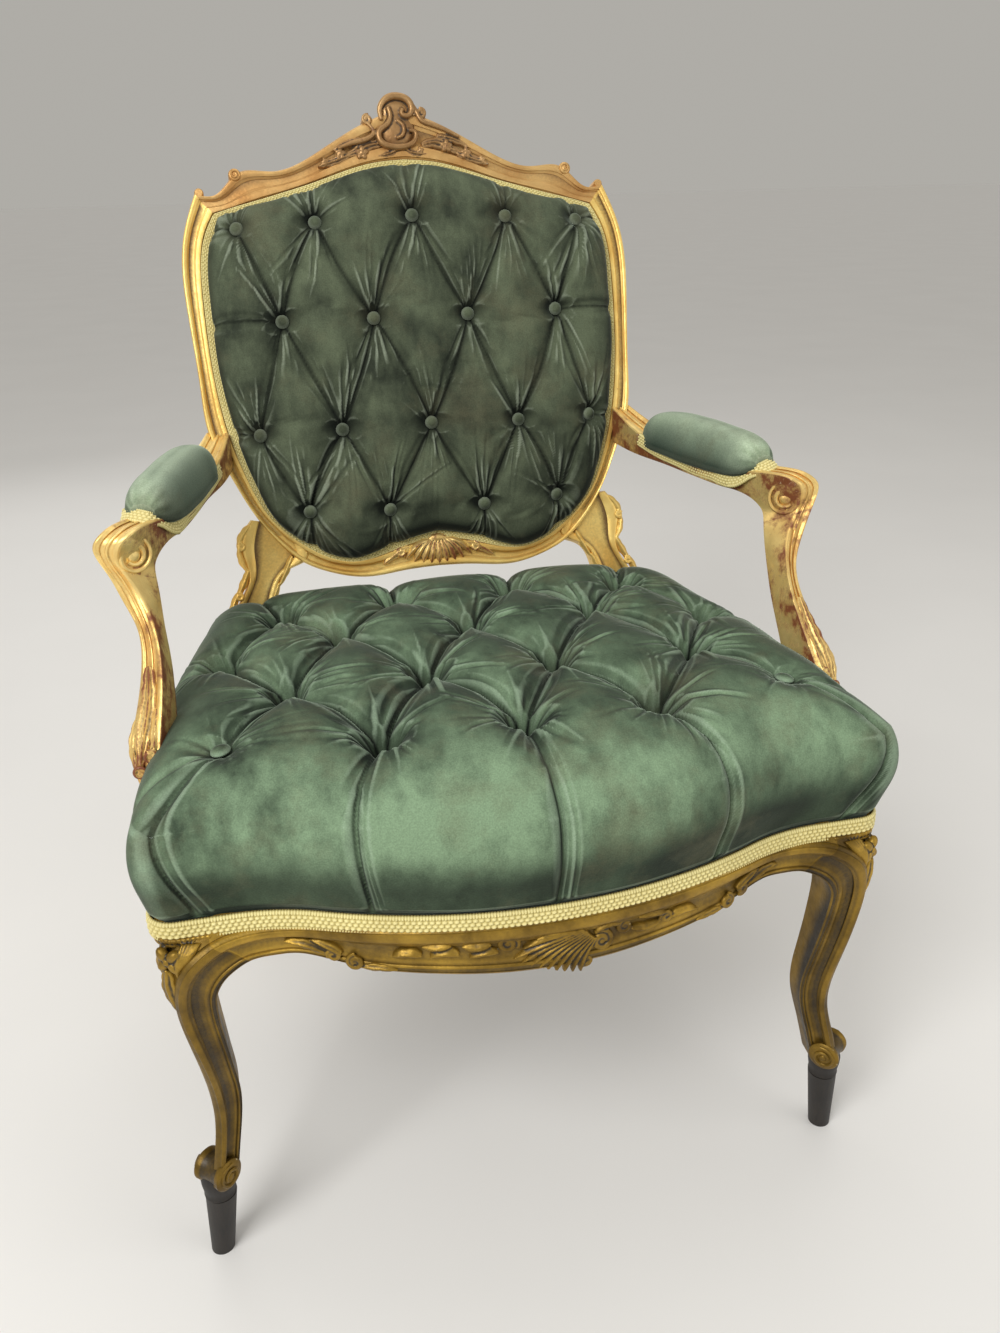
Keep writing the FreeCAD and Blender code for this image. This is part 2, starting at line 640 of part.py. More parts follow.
def arm_section(index):
    x, y, wide, low, high = ARM_PATH[index]
    before = ARM_PATH[max(index - 1, 0)]
    after = ARM_PATH[min(index + 1, len(ARM_PATH) - 1)]
    run = V(after[0] - before[0], after[1] - before[1], 0).normalize()
    across = V(-run.y, run.x, 0) * (wide / 2)
    at = V(x, y, 0)
    inner = at - across
    outer = at + across
    low_z = V(0, 0, low)
    high_z = V(0, 0, high)
    points = [inner + low_z, outer + low_z, outer + high_z, inner + high_z]
    return Part.Wire([line(points[k], points[(k + 1) % 4]) for k in range(4)])


def arm():
    rail = Part.makeLoft([arm_section(k) for k in range(len(ARM_PATH))], True, False)
    turn = math.radians(VOLUTE_TURN)
    axis = V(math.sin(turn), math.cos(turn), 0)
    at = V(*VOLUTE_AT)
    volute = cylinder(VOLUTE_RADIUS, at - axis * (VOLUTE_WIDTH / 2), at + axis * (VOLUTE_WIDTH / 2))
    eye = cylinder(VOLUTE_EYE_RADIUS, at - axis * (VOLUTE_WIDTH / 2 + VOLUTE_EYE_PROUD), at)
    return rail.fuse([volute, eye])


# Arm pads: a crowned loft along the arm, and the braid round the foot of each
def pad_section(share, width_share, height_share):
    rear = V(PAD_REAR[0], PAD_REAR[1], ARM_TOP)
    front = V(PAD_FRONT[0], PAD_FRONT[1], ARM_TOP)
    at = rear + (front - rear) * share
    run = (front - rear).normalize()
    across = V(-run.y, run.x, 0) * (PAD_WIDTH * width_share / 2)
    crown = V(0, 0, PAD_HEIGHT * height_share)
    swell = across * PAD_SWELL
    turn = across * PAD_TURN
    side = crown * PAD_SIDE
    return Part.Wire([line(at - across, at + across),
                      arc(at + across, at + swell + side * 0.5, at + turn + side),
                      arc(at + turn + side, at + crown, at - turn + side),
                      arc(at - turn + side, at - swell + side * 0.5, at - across)])


def arm_pad():
    return Part.makeLoft([pad_section(*station) for station in PAD_STATIONS], True, False)


def arm_gimp(arm_shape, pad_shape):
    rear = V(PAD_REAR[0], PAD_REAR[1], 0)
    front = V(PAD_FRONT[0], PAD_FRONT[1], 0)
    run = (front - rear).normalize()
    side = V(-run.y, run.x, 0)
    low = V(0, 0, ARM_TOP - ARM_GIMP_WIDTH + ARM_GIMP_LAP)
    sides = []
    for grow in (GIMP_GAP, GIMP_GAP + GIMP_THICK):
        half = side * (PAD_WIDTH / 2 + ARM_GIMP_OUT + grow)
        a = rear + run * (ARM_GIMP_REAR - grow) + low
        b = front + run * (grow + ARM_GIMP_OUT) + low
        points = [a - half, b - half, b + half, a + half]
        wire = Part.Wire([line(points[k], points[(k + 1) % 4]) for k in range(4)])
        sides.append(Part.Face(wire).extrude(V(0, 0, ARM_GIMP_WIDTH)))
    return sides[1].cut([sides[0], arm_shape, pad_shape])


# Seat upholstery: webbing, springs, canvas, first stuffing, and the buttoned top
def webbing():
    low = RAIL_BOTTOM - WEB_THICK
    under = seat_slab(low, RAIL_BOTTOM, -APRON_LIP - WEB_THICK)
    lower = seat_slab(low - WEB_THICK, low, -APRON_LIP - WEB_THICK)
    straps = []
    for k in range(-2, 3):
        x = k * WEB_PITCH_X
        straps.append(under.common(box(x - WEB_WIDTH / 2, x + WEB_WIDTH / 2, -FAR, FAR, 0, FAR)))
    for k in range(-2, 3):
        y = SPRING_ROW_Y + k * WEB_PITCH_Y
        straps.append(lower.common(box(-FAR, FAR, y - WEB_WIDTH / 2, y + WEB_WIDTH / 2, 0, FAR)))
    return Part.makeCompound([solid(strap) for strap in straps])


def spring(x, y):
    low = RAIL_BOTTOM + SPRING_WIRE_R + SPRING_SEAT
    rise = SPRING_HEIGHT - 2 * SPRING_WIRE_R
    points = []
    for k in range(SPRING_TURNS * SPRING_STEPS + 1):
        share = k / (SPRING_TURNS * SPRING_STEPS)
        radius = SPRING_WAIST_R + (SPRING_END_R - SPRING_WAIST_R) * (2 * share - 1) ** 2
        turn = 2 * math.pi * k / SPRING_STEPS
        points.append(V(x + radius * math.cos(turn), y + radius * math.sin(turn), low + rise * share))
    path = Part.Wire(spline(points))
    start = points[0]
    tangent = path.Edges[0].tangentAt(path.Edges[0].FirstParameter)
    ring = Part.Wire(Part.makeCircle(SPRING_WIRE_R, start, tangent))
    return path.makePipeShell([ring], True, True)


def spring_places():
    return [(i * SPRING_PITCH_X, SPRING_ROW_Y + j * SPRING_PITCH_Y) for i in (-1, 0, 1) for j in (-1, 0, 1)]


def dome(lift, spread):
    sections = [(RAIL_TOP + z, scale + spread) for z, scale in CANVAS_FOOT]
    sections.extend((SPRING_TOP + lift + z, scale + spread) for z, scale in CANVAS_CROWN)
    return Part.makeLoft([scaled_plan(scale, z) for z, scale in sections], True, False)


def canvas_outside():
    return dome(CANVAS_GAP + CANVAS_THICK, CANVAS_SPREAD)


def canvas():
    return canvas_outside().cut(dome(CANVAS_GAP, 0.0))


def seat_body():
    wires = []
    for share, scale, forward in SEAT_SECTIONS:
        wire = scaled_plan(scale, RAIL_TOP + SEAT_CROWN * share)
        wire.translate(V(0, -forward, 0))
        wires.append(wire)
    return Part.makeLoft(wires, True, False, False, LOFT_DEGREE)


def first_stuffing():
    top = SPRING_TOP + CANVAS_THICK + FIRST_STUFFING
    sections = [(RAIL_TOP + z, scale) for z, scale in STUFFING_FOOT]
    sections.extend((top + z, scale) for z, scale in STUFFING_CROWN)
    return Part.makeLoft([scaled_plan(scale, z) for z, scale in sections], True, False)


# Tufts: a funnel at each button and a pleat channel between neighbours
def funnel(floor, rise):
    profile = [V(0, 0, 0), V(TUFT_FLOOR_R, 0, 0), V(TUFT_MOUTH_R, 0, rise), V(0, 0, rise)]
    flare = V((TUFT_FLOOR_R + TUFT_MOUTH_R) / 2 - TUFT_FLARE, 0, rise * TUFT_FLARE_SHARE)
    edges = [line(profile[0], profile[1]), arc(profile[1], flare, profile[2]), line(profile[2], profile[3]),
             line(profile[3], profile[0])]
    cutter = Part.Face(Part.Wire(edges)).revolve(V(0, 0, 0), V(0, 0, 1), 360)
    cutter.translate(floor)
    return cutter


def wedge(a, b, out, rise):
    run = b - a
    across = run.cross(out).normalize() * PLEAT_HALF
    lip = a + out * rise
    face = Part.Face(Part.makePolygon([a, lip + across, lip - across, a]))
    return face.extrude(run)


def button(floor):
    crown = V(BUTTON_FLAT_R, 0, BUTTON_HEIGHT)
    rim = V(BUTTON_R, 0, BUTTON_HEIGHT * BUTTON_RIM)
    shoulder_point = V(BUTTON_R * BUTTON_SHOULDER[0], 0, BUTTON_HEIGHT * BUTTON_SHOULDER[1])
    axis = [V(0, 0, BUTTON_HEIGHT), V(0, 0, 0), V(BUTTON_R, 0, 0)]
    edges = [line(axis[0], axis[1]), line(axis[1], axis[2]), line(axis[2], rim),
             arc(rim, shoulder_point, crown), line(crown, axis[0])]
    shape = Part.Face(Part.Wire(edges)).revolve(V(0, 0, 0), V(0, 0, 1), 360)
    shape.translate(floor)
    return shape


def mirrored_places(places):
    both = list(places)
    both.extend((-x, y) for x, y in places if x > 0)
    return both


def surface_height(body, x, y):
    ray = Part.makeLine(V(x, y, -FAR), V(x, y, FAR))
    return max(vertex.Point.z for vertex in body.section(ray).Vertexes)


def tuft_floors(body, places, depth):
    return [V(x, y, surface_height(body, x, y) - depth) for x, y in mirrored_places(places)]


def diamond_pleats(floors, tuft_depth, pleat_depth):
    up = V(0, 0, 1)
    lift = up * (tuft_depth - pleat_depth)
    pleats = []
    for k, a in enumerate(floors):
        for b in floors[k + 1:]:
            reach = math.hypot(b.x - a.x, b.y - a.y)
            if reach < PLEAT_REACH and abs(b.y - a.y) > reach / 2:
                pleats.append(wedge(a + lift, b + lift, up, pleat_depth + OVERCUT))
    return pleats


# Long pleats from the front row of buttons over the edge and down to the braid
def front_pleats(floors):
    front_row = min(floor.y for floor in floors)
    pleats = []
    for floor in floors:
        if floor.y > front_row + FRONT_ROW_BAND:
            continue
        foot_x = floor.x * FRONT_PLEAT_FAN
        foot_y = front_face_y(foot_x)
        brow = V(foot_x, foot_y, RAIL_TOP + SEAT_CROWN * FRONT_BROW)
        foot = V(foot_x, foot_y, RAIL_TOP)
        start = floor + V(0, 0, SEAT_TUFT_DEPTH - SEAT_PLEAT_DEPTH)
        pleats.append(wedge(start, brow, V(0, 0, 1), OVERCUT))
        pleats.append(wedge(brow, foot, V(0, -1, 0), OVERCUT))
    return pleats


def front_face_y(x):
    ray = Part.makeLine(V(x, -FAR, 0), V(x, SEAT_CENTRE_Y, 0))
    return min(vertex.Point.y for vertex in seat_plan().section(ray).Vertexes)


def tufted(body, floors, rise, pleats):
    body = body.cut([funnel(floor, rise) for floor in floors])
    return solid(body.cut(pleats))


# Back upholstery in the back's flat drawing
def sight_line(distance, n):
    stile_line = inset_line(STILE_OUTER, STILE_INNER, distance, n)
    sill_line = inset_line(SILL_OUTER, SILL_INNER, distance, n)
    crest_line = inset_line(CREST_OUTER, CREST_INNER, distance, n)
    edges = [spline(whole(crest_line)), spline(whole(sill_line)), spline(stile_line)]
    edges.append(mirrored(edges[2]))
    return Part.Wire(Part.sortEdges(edges)[0])


def back_pad():
    floor = -RABBET_DEPTH + WEB_THICK + CLOTH_THICK + GIMP_GAP
    middle = V(0, (CREST_INNER[-1][1] + SILL_INNER[-1][1]) / 2, 0)
    base = sight_line(BACK_PAD_CLEAR, 0.0)
    wires = []
    for share, scale in BACK_SECTIONS:
        wire = base.scaled(scale, middle)
        wire.translate(V(0, 0, floor + (BACK_CROWN - floor) * share))
        wires.append(wire)
    return Part.makeLoft(wires, True, False, False, LOFT_DEGREE)


def back_panel(distance, low, thick):
    return Part.Face(sight_line(distance, low)).extrude(V(0, 0, thick))


def back_webbing():
    low = -RABBET_DEPTH
    panel = back_panel(BACK_WEB_INSET, low, WEB_THICK)
    straps = []
    for k in range(-1, 2):
        x = k * BACK_WEB_PITCH
        straps.append(panel.common(box(x - WEB_WIDTH / 2, x + WEB_WIDTH / 2, -FAR, FAR, -FAR, FAR)))
    return Part.makeCompound([to_back(solid(strap)) for strap in straps])


def back_gimp():
    low = -RABBET_DEPTH + WEB_THICK + CLOTH_THICK + GIMP_GAP
    outer = back_panel(GIMP_GAP, low, GIMP_PROUD - low)
    inner = back_panel(BACK_PAD_CLEAR - GIMP_GAP, low, GIMP_PROUD - low)
    return outer.cut(inner)


def rear_braid(outer_distance, inner_distance, low, thick):
    return back_panel(outer_distance, low, thick).cut(back_panel(inner_distance, low - 1, thick + 2))


# Fasteners: each goes into the members it holds, which are bored for it
def fit_dowel(group, centre, direction, length, radius, members):
    half = direction.normalize() * (length / 2)
    gap = direction * DOWEL_END_GAP
    group.append(cylinder(radius, centre - half, centre + half))
    bore = cylinder(radius + DOWEL_FIT, centre - half - gap, centre + half + gap)
    for name in members:
        parts[name] = parts[name].cut(bore)


def screw_shape(head_at, direction, length, fit):
    run = direction.normalize()
    sink = SCREW_HEAD_R - SCREW_R
    head = Part.makeCone(SCREW_HEAD_R + fit, SCREW_R + fit, sink, head_at, run)
    return head.fuse(cylinder(SCREW_R + fit, head_at, head_at + run * (length + fit))).removeSplitter()


def fit_screw(group, head_at, direction, length, members):
    group.append(screw_shape(head_at, direction, length, 0.0))
    bore = screw_shape(head_at, direction, length, SCREW_FIT)
    for name in members:
        parts[name] = parts[name].cut(bore)


def build():
    # Frame
    leg = front_leg().cut([front_tenon(TENON_FIT), side_tenon(TENON_FIT)])
    rail_side = side_rail()
    sill_shape = sill()
    crest_shape = crest()
    post = rear_leg().fuse([console().cut(sill_shape), stile()])
    post = post.cut([side_rear_tenon(TENON_FIT), rear_tenon(TENON_FIT), sill_shape, crest_shape])
    arm_shape = arm().cut(post)
    support = arm_support().cut([rail_side, leg, arm_shape])
    rail_front = front_rail().cut([leg, mirrored(leg)])
    add_pair("front_leg", solid(leg))
    add_pair("front_foot", leg_foot(FRONT_FOOT_TOP, FRONT_FOOT_BASE))
    add_pair("back_post", solid(post))
    add_pair("rear_foot", leg_foot(REAR_FOOT_TOP, REAR_FOOT_BASE))
    add_pair("side_rail", rail_side)
    add_pair("arm", solid(arm_shape))
    add_pair("arm_support", solid(support))
    parts["front_rail"] = solid(rail_front)
    parts["rear_rail"] = solid(rear_rail().cut([post, mirrored(post)]))
    parts["crest_rail"] = solid(crest_shape)
    parts["lower_back_rail"] = solid(sill_shape)

    # Upholstery of the seat
    springs = [spring(x, y) for x, y in spring_places()]
    parts["seat_webbing"] = webbing().cut([leg, mirrored(leg), rail_front])
    parts["seat_springs"] = Part.makeCompound(springs)
    around = [parts[name + side] for name in ("back_post", "arm_support") for side in ("_right", "_left")]
    parts["spring_canvas"] = solid(canvas().cut(around))
    stuffing = first_stuffing().cut(canvas_outside())
    body = seat_body()
    floors = tuft_floors(body, SEAT_TUFTS, SEAT_TUFT_DEPTH)
    pleats = diamond_pleats(floors, SEAT_TUFT_DEPTH, SEAT_PLEAT_DEPTH) + front_pleats(floors)
    seat = tufted(body, floors, SEAT_TUFT_DEPTH + MOUTH_OVER, pleats)
    inner_seat = first_stuffing().fuse(canvas_outside())
    parts["first_stuffing"] = solid(stuffing.cut(around))
    parts["seat_cushion"] = solid(seat.cut(inner_seat).cut(around + [sill_shape]))
    parts["seat_buttons"] = Part.makeCompound([button(floor) for floor in floors])
    band = seat_slab(RAIL_TOP - GIMP_WIDTH, RAIL_TOP, GIMP_GAP + GIMP_THICK)
    band = band.cut(seat_slab(RAIL_TOP - GIMP_WIDTH, RAIL_TOP, GIMP_GAP))
    keep = box(-FAR, FAR, -FAR, POST_FRONT, 0, FAR)
    trimmed = band.common(keep).cut([leg, mirrored(leg), support, mirrored(support), rail_front])
    parts["seat_gimp"] = Part.makeCompound([each for each in trimmed.Solids if each.Volume > GIMP_SCRAP])
    cloth_low = RAIL_BOTTOM - 2 * WEB_THICK - CLOTH_THICK
    parts["dust_cover"] = solid(seat_slab(cloth_low, cloth_low + CLOTH_THICK, -APRON_LIP - CLOTH_THICK).cut(
        [parts["front_rail"], leg, mirrored(leg), post, mirrored(post)]))

    # Upholstery of the back
    body = back_pad()
    floors = tuft_floors(body, BACK_TUFTS, BACK_TUFT_DEPTH)
    pleats = diamond_pleats(floors, BACK_TUFT_DEPTH, BACK_PLEAT_DEPTH)
    pad = tufted(body, floors, BACK_TUFT_DEPTH + MOUTH_OVER, pleats)
    frame = [post, mirrored(post), sill_shape, crest_shape]
    parts["back_cushion"] = solid(to_back(pad).cut(frame + [parts["seat_cushion"]]))
    parts["back_buttons"] = to_back(Part.makeCompound([button(floor) for floor in floors]))
    parts["back_webbing"] = back_webbing()
    hessian = back_panel(HESSIAN_INSET, -RABBET_DEPTH + WEB_THICK, CLOTH_THICK)
    parts["back_hessian"] = solid(to_back(hessian).cut(frame))
    parts["back_gimp"] = solid(to_back(back_gimp()).cut(frame))
    cover_low = -BACK_THICK - CLOTH_THICK
    parts["outside_back_cover"] = to_back(back_panel(RABBET_WIDTH - OUTSIDE_LAP, cover_low, CLOTH_THICK))
    rear_gimp = rear_braid(RABBET_WIDTH - OUTSIDE_GIMP_WIDTH, RABBET_WIDTH, cover_low - GIMP_THICK,
                           GIMP_THICK)
    parts["outside_back_gimp"] = to_back(rear_gimp)

    # Arm pads and their braid
    pad_shape = arm_pad().cut(arm_shape)
    add_pair("arm_pad", solid(pad_shape))
    add_pair("arm_gimp", arm_gimp(arm_shape, pad_shape))


# Corner blocks glued in the angles of the seat frame, each held by two screws
def fit_corner_blocks():
    blocks = []
    screws = []
    hollow = seat_slab(RAIL_BOTTOM, RAIL_TOP, -RAIL_THICK)
    low = RAIL_BOTTOM + BLOCK_LIFT
    around = [parts[name] for name in parts if name.startswith(("front_leg", "back_post"))]
    for side, sign in (("_right", 1), ("_left", -1)):
        for half, y, inward, rail in ((FRONT_HALF, FRONT_FLAT_Y + RAIL_THICK, 1, "front_rail"),
                                      (REAR_HALF, REAR_Y - RAIL_THICK, -1, "rear_rail")):
            corner = V(sign * (half - RAIL_THICK + BLOCK_OVER), y - inward * BLOCK_OVER, low)
            reach = BLOCK_LEG + BLOCK_OVER
            along_x = V(-sign * reach, 0, 0)
            along_y = V(0, inward * reach, 0)
            outline = Part.makePolygon([corner, corner + along_x, corner + along_y, corner])
            block = Part.Face(outline).extrude(V(0, 0, BLOCK_HEIGHT)).common(hollow).cut(around)
            name = "corner_block_" + str(len(blocks))
            parts[name] = solid(block)
            mid = V(0, 0, BLOCK_HEIGHT / 2)
            to_side = corner + along_y * BLOCK_SCREW_ALONG + along_x * BLOCK_SCREW_IN + mid
            to_rail = corner + along_x * BLOCK_SCREW_ALONG + along_y * BLOCK_SCREW_IN + mid
            fit_screw(screws, to_side, along_x * -1, BLOCK_SCREW, [name, "side_rail" + side])
            fit_screw(screws, to_rail, along_y * -1, BLOCK_SCREW, [name, rail])
            blocks.append(parts.pop(name))
    parts["corner_blocks"] = Part.makeCompound([solid(block) for block in blocks])
    parts["corner_screws"] = Part.makeCompound(screws)


# Oak pegs through the tenons
def fit_pegs():
    pegs = []
    middle = (RAIL_BOTTOM + RAIL_TOP) / 2
    for side, sign in (("_right", 1), ("_left", -1)):
        leg = "front_leg" + side
        post = "back_post" + side
        rail = "side_rail" + side
        across = V(1, 0, 0)
        deep = V(0, 1, 0)
        low = middle - PEG_SPREAD
        high = middle + PEG_SPREAD
        front_x = sign * (LEG_IN + TENON_LENGTH / 2)
        front_y = LEG_BACK - TENON_LENGTH / 2
        rear_x = sign * (POST_IN + TENON_LENGTH / 2)
        rear_y = POST_FRONT + TENON_LENGTH / 2
        side_x = SIDE_TENON_X + TENON_THICK / 2
        side_rear_x = SIDE_TENON_REAR_X + TENON_THICK / 2
        front_at = V(front_x, FRONT_TENON_Y + TENON_THICK, high)
        fit_dowel(pegs, front_at, deep, PEG_LENGTH, PEG_R, [leg, "front_rail"])
        fit_dowel(pegs, V(sign * side_x, front_y, low), across, PEG_LENGTH, PEG_R, [leg, rail])
        fit_dowel(pegs, V(sign * side_rear_x, rear_y, low), across, PEG_LENGTH, PEG_R, [post, rail])
        fit_dowel(pegs, V(rear_x, REAR_TENON_Y, high), deep, PEG_LENGTH, PEG_R, [post, "rear_rail"])
    parts["joint_pegs"] = Part.makeCompound(pegs)


# Dowels of the back frame and under the arms
def fit_dowels():
    dowels = []
    turn = FreeCAD.Rotation(V(1, 0, 0), 90.0 - BACK_RAKE)
    joints = ((STILE_OUTER[0], STILE_INNER[0], CREST_DOWEL_RUN, "crest_rail"),
              (STILE_OUTER[-1], STILE_INNER[-1], SILL_DOWEL_RUN, "lower_back_rail"))
    n = -(BACK_THICK + RABBET_DEPTH) / 2
    for side, sign in (("_right", 1), ("_left", -1)):
        for outer, inner, run, rail in joints:
            for share in DOWEL_SHARES:
                x = outer[0] + (inner[0] - outer[0]) * share
                up = outer[1] + (inner[1] - outer[1]) * share
                centre = turn.multVec(V(sign * x, up, n)) + V(0, BACK_Y, BACK_Z)
                direction = turn.multVec(V(sign * run[0], run[1], 0))
                fit_dowel(dowels, centre, direction, BACK_DOWEL_LENGTH, BACK_DOWEL_R,
                          ["back_post" + side, rail])
        top = V(sign * (VOLUTE_AT[0] + ARM_DOWEL_SHIFT[0]), VOLUTE_AT[1] + ARM_DOWEL_SHIFT[1],
                VOLUTE_AT[2] - VOLUTE_RADIUS + ARM_DOWEL_SHIFT[2])
        fit_dowel(dowels, top, V(0, 0, 1), DOWEL_LENGTH, DOWEL_R, ["arm" + side, "arm_support" + side])
    parts["frame_dowels"] = Part.makeCompound(dowels)


# Screws from behind the stiles into the arms, and from inside the side rails into the supports
def fit_arm_screws():
    screws = []
    turn = FreeCAD.Rotation(V(1, 0, 0), 90.0 - BACK_RAKE)
    for side, sign in (("_right", 1), ("_left", -1)):
        head = turn.multVec(V(sign * ARM_SCREW_AT[0], ARM_SCREW_AT[1], -BACK_THICK)) + V(0, BACK_Y, BACK_Z)
        fit_screw(screws, head, turn.multVec(V(0, 0, 1)), ARM_SCREW, ["back_post" + side, "arm" + side])
        for z in SUPPORT_SCREW_Z:
            ray = Part.makeLine(V(0, SUPPORT_SCREW_Y, 0), V(FAR, SUPPORT_SCREW_Y, 0))
            face = min(vertex.Point.x for vertex in seat_plan(-RAIL_THICK).section(ray).Vertexes)
            fit_screw(screws, V(sign * face, SUPPORT_SCREW_Y, z), V(sign, 0, 0), SUPPORT_SCREW,
                      ["side_rail" + side, "arm_support" + side])
    parts["arm_screws"] = Part.makeCompound(screws)


build()
fit_corner_blocks()
fit_pegs()
fit_dowels()
fit_arm_screws()

extent = Part.makeCompound(list(parts.values())).optimalBoundingBox(True, False)
shift = V(0, -(extent.YMin + extent.YMax) / 2, 0)
os.makedirs("parts", exist_ok=True)
for name, shape in parts.items():
    moved = shape.copy()
    moved.translate(shift)
    moved.exportStep("parts/" + name + ".step")
    print(name, "solids", len(moved.Solids), "valid", moved.isValid(), "volume %.0f" % moved.Volume)
print("box", extent, "shift", shift.y)
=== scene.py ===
import math

import bmesh
import bpy
import numpy as np
from mathutils import Matrix, Vector


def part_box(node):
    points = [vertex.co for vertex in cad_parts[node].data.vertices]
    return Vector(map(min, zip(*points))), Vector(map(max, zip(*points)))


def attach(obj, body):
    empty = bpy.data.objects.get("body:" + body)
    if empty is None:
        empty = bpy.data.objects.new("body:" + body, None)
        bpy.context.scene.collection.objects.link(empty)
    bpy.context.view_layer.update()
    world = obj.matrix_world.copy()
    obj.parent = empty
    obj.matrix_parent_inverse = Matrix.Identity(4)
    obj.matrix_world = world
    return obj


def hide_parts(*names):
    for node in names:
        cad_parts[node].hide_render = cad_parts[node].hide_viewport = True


# Gilded open armchair with a buttoned seat and back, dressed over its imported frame.
# Shapes are drawn in millimetres, +X right as seen from the front, +Y to the back, +Z up,
# and moved into the frame when a piece is made.

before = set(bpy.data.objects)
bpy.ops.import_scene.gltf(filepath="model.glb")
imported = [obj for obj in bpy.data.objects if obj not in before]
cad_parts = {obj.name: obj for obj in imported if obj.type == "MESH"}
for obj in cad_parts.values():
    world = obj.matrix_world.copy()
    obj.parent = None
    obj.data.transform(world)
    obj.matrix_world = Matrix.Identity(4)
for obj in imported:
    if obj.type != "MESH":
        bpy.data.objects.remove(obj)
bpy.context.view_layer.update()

MM = 0.001
REAR_Y = 206.0
SHIFT = np.array([0.0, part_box("rear_rail")[1].y / MM - REAR_Y, 0.0])

# Seat frame
FRONT_HALF = 322.0
REAR_HALF = 258.0
FLAT_X = 262.0
FLAT_Y = -244.0
BOW_Y = -299.0
BOW_RADIUS = 466.0
REVERSE_RADIUS = 185.6
BOW_END_X = 187.4
CORNER = 16.0
SIDE_MID = (304.0, -19.0)
RAIL_TOP = 391.0
RAIL_BOTTOM = 340.0
RAIL_THICK = 34.0

# Back plane: x across, s up the slope, n forward of the frame's face
RAKE = math.radians(16.3)
BACK_Y = 211.0
BACK_Z = 545.0
BACK_THICK = 32.0
RABBET_WIDTH = 15.0
RABBET_DEPTH = 11.0
STILE_OUTER = [(232, 394), (247, 356), (254, 273), (250, 190), (245, 132), (229, 92), (208, 48), (190, 20)]
STILE_INNER = [(214, 372), (226, 350), (235, 280), (233, 200), (223, 130), (209, 84), (188, 40), (166, 16)]
SILL_OUTER = [(190, 20), (162, -10), (126, -28), (92, -36), (42, -33), (0, -31)]
SILL_INNER = [(166, 16), (134, -6), (104, -16), (80, -15), (38, -4), (0, 3)]
CREST_OUTER = [(232, 394), (212, 392), (184, 415), (148, 416), (114, 425), (78, 445), (40, 465), (0, 480)]
CREST_INNER = [(214, 372), (196, 377), (166, 385), (136, 393), (104, 402), (70, 413), (34, 422), (0, 425)]
CONSOLE_OUTER = [(256, -168), (252, -110), (238, -58), (222, -24), (228, 10), (212, 40)]
CONSOLE_INNER = [(212, -168), (208, -110), (194, -54), (178, -22), (150, -8), (166, 30)]

# Buttons: seat (x, y) and back (x, s), one half
SEAT_TUFTS = [(0, -200), (122, -195), (257, -176), (62, -87), (196, -87), (0, 24), (136, 36), (256, 14),
              (62, 118), (192, 102)]
BACK_TUFTS = [(0, 360), (107, 358), (192, 352), (52, 250), (156, 250), (0, 132), (101, 130), (194, 132),
              (54, 36), (146, 40)]
SEAT_CROWN = 130.0
SEAT_DEEP = 42.0
SEAT_SIDE_DEEP = 13.0
BACK_DEEP = 13.0
BACK_CROWN = 34.0
PAD_CLEAR = 9.5
PLEAT_REACH = 150.0

CARVING_ROUNDS = 8
CLOTH_ROUNDS = 6
RELIEF_FULL = 94
rng = np.random.default_rng(7)


# Lines and meshes
def lengths(line):
    """Length of a line from its start to each of its points."""
    return np.concatenate([[0.0], np.cumsum(np.linalg.norm(np.diff(line, axis=0), axis=1))])


def angles(count):
    """Even angles round a circle."""
    return np.linspace(0, 2 * math.pi, count, endpoint=False)


def through(points, count):
    """A natural cubic line through the points, at even steps of its parameter."""
    known = np.asarray(points, float)
    length = lengths(known)
    gap = np.diff(length)
    last = len(known) - 1
    system = np.eye(last + 1)
    change = np.zeros_like(known)
    for k in range(1, last):
        system[k, k - 1:k + 2] = gap[k - 1], 2 * (gap[k - 1] + gap[k]), gap[k]
        change[k] = 6 * ((known[k + 1] - known[k]) / gap[k] - (known[k] - known[k - 1]) / gap[k - 1])
    bend = np.linalg.solve(system, change)
    wanted = np.linspace(0, length[-1], count)
    k = np.clip(np.searchsorted(length, wanted, side="right") - 1, 0, last - 1)
    before = (wanted - length[k])[:, None]
    after = (length[k + 1] - wanted)[:, None]
    step = gap[k][:, None]
    return ((bend[k] * after ** 3 + bend[k + 1] * before ** 3) / (6 * step)
            + (known[k] / step - bend[k] * step / 6) * after
            + (known[k + 1] / step - bend[k + 1] * step / 6) * before)


def even(line, count, closed=False):
    """The same line at even steps of its length."""
    points = np.vstack([line, line[:1]]) if closed else np.asarray(line, float)
    length = lengths(points)
    wanted = np.linspace(0, length[-1], count, endpoint=not closed)
    return np.stack([np.interp(wanted, length, points[:, k]) for k in range(points.shape[1])], axis=1)


def unit(vectors):
    return vectors / np.maximum(np.linalg.norm(vectors, axis=-1, keepdims=True), 1e-9)


class Form:
    """Points in millimetres with faces, gathered into one piece."""

    def __init__(self, points=None, faces=()):
        self.points = np.zeros((0, 3))
        self.faces = []
        if points is not None:
            self.add(points, faces)

    def add(self, points, faces):
        start = len(self.points)
        self.points = np.vstack([self.points, np.asarray(points, float).reshape(-1, 3)])
        self.faces.extend(tuple(start + k for k in face) for face in faces)
        return self

    def join(self, *others):
        for other in others:
            self.add(other.points, other.faces)
        return self

    def mirrored(self):
        return Form(self.points * (-1, 1, 1), [face[::-1] for face in self.faces])


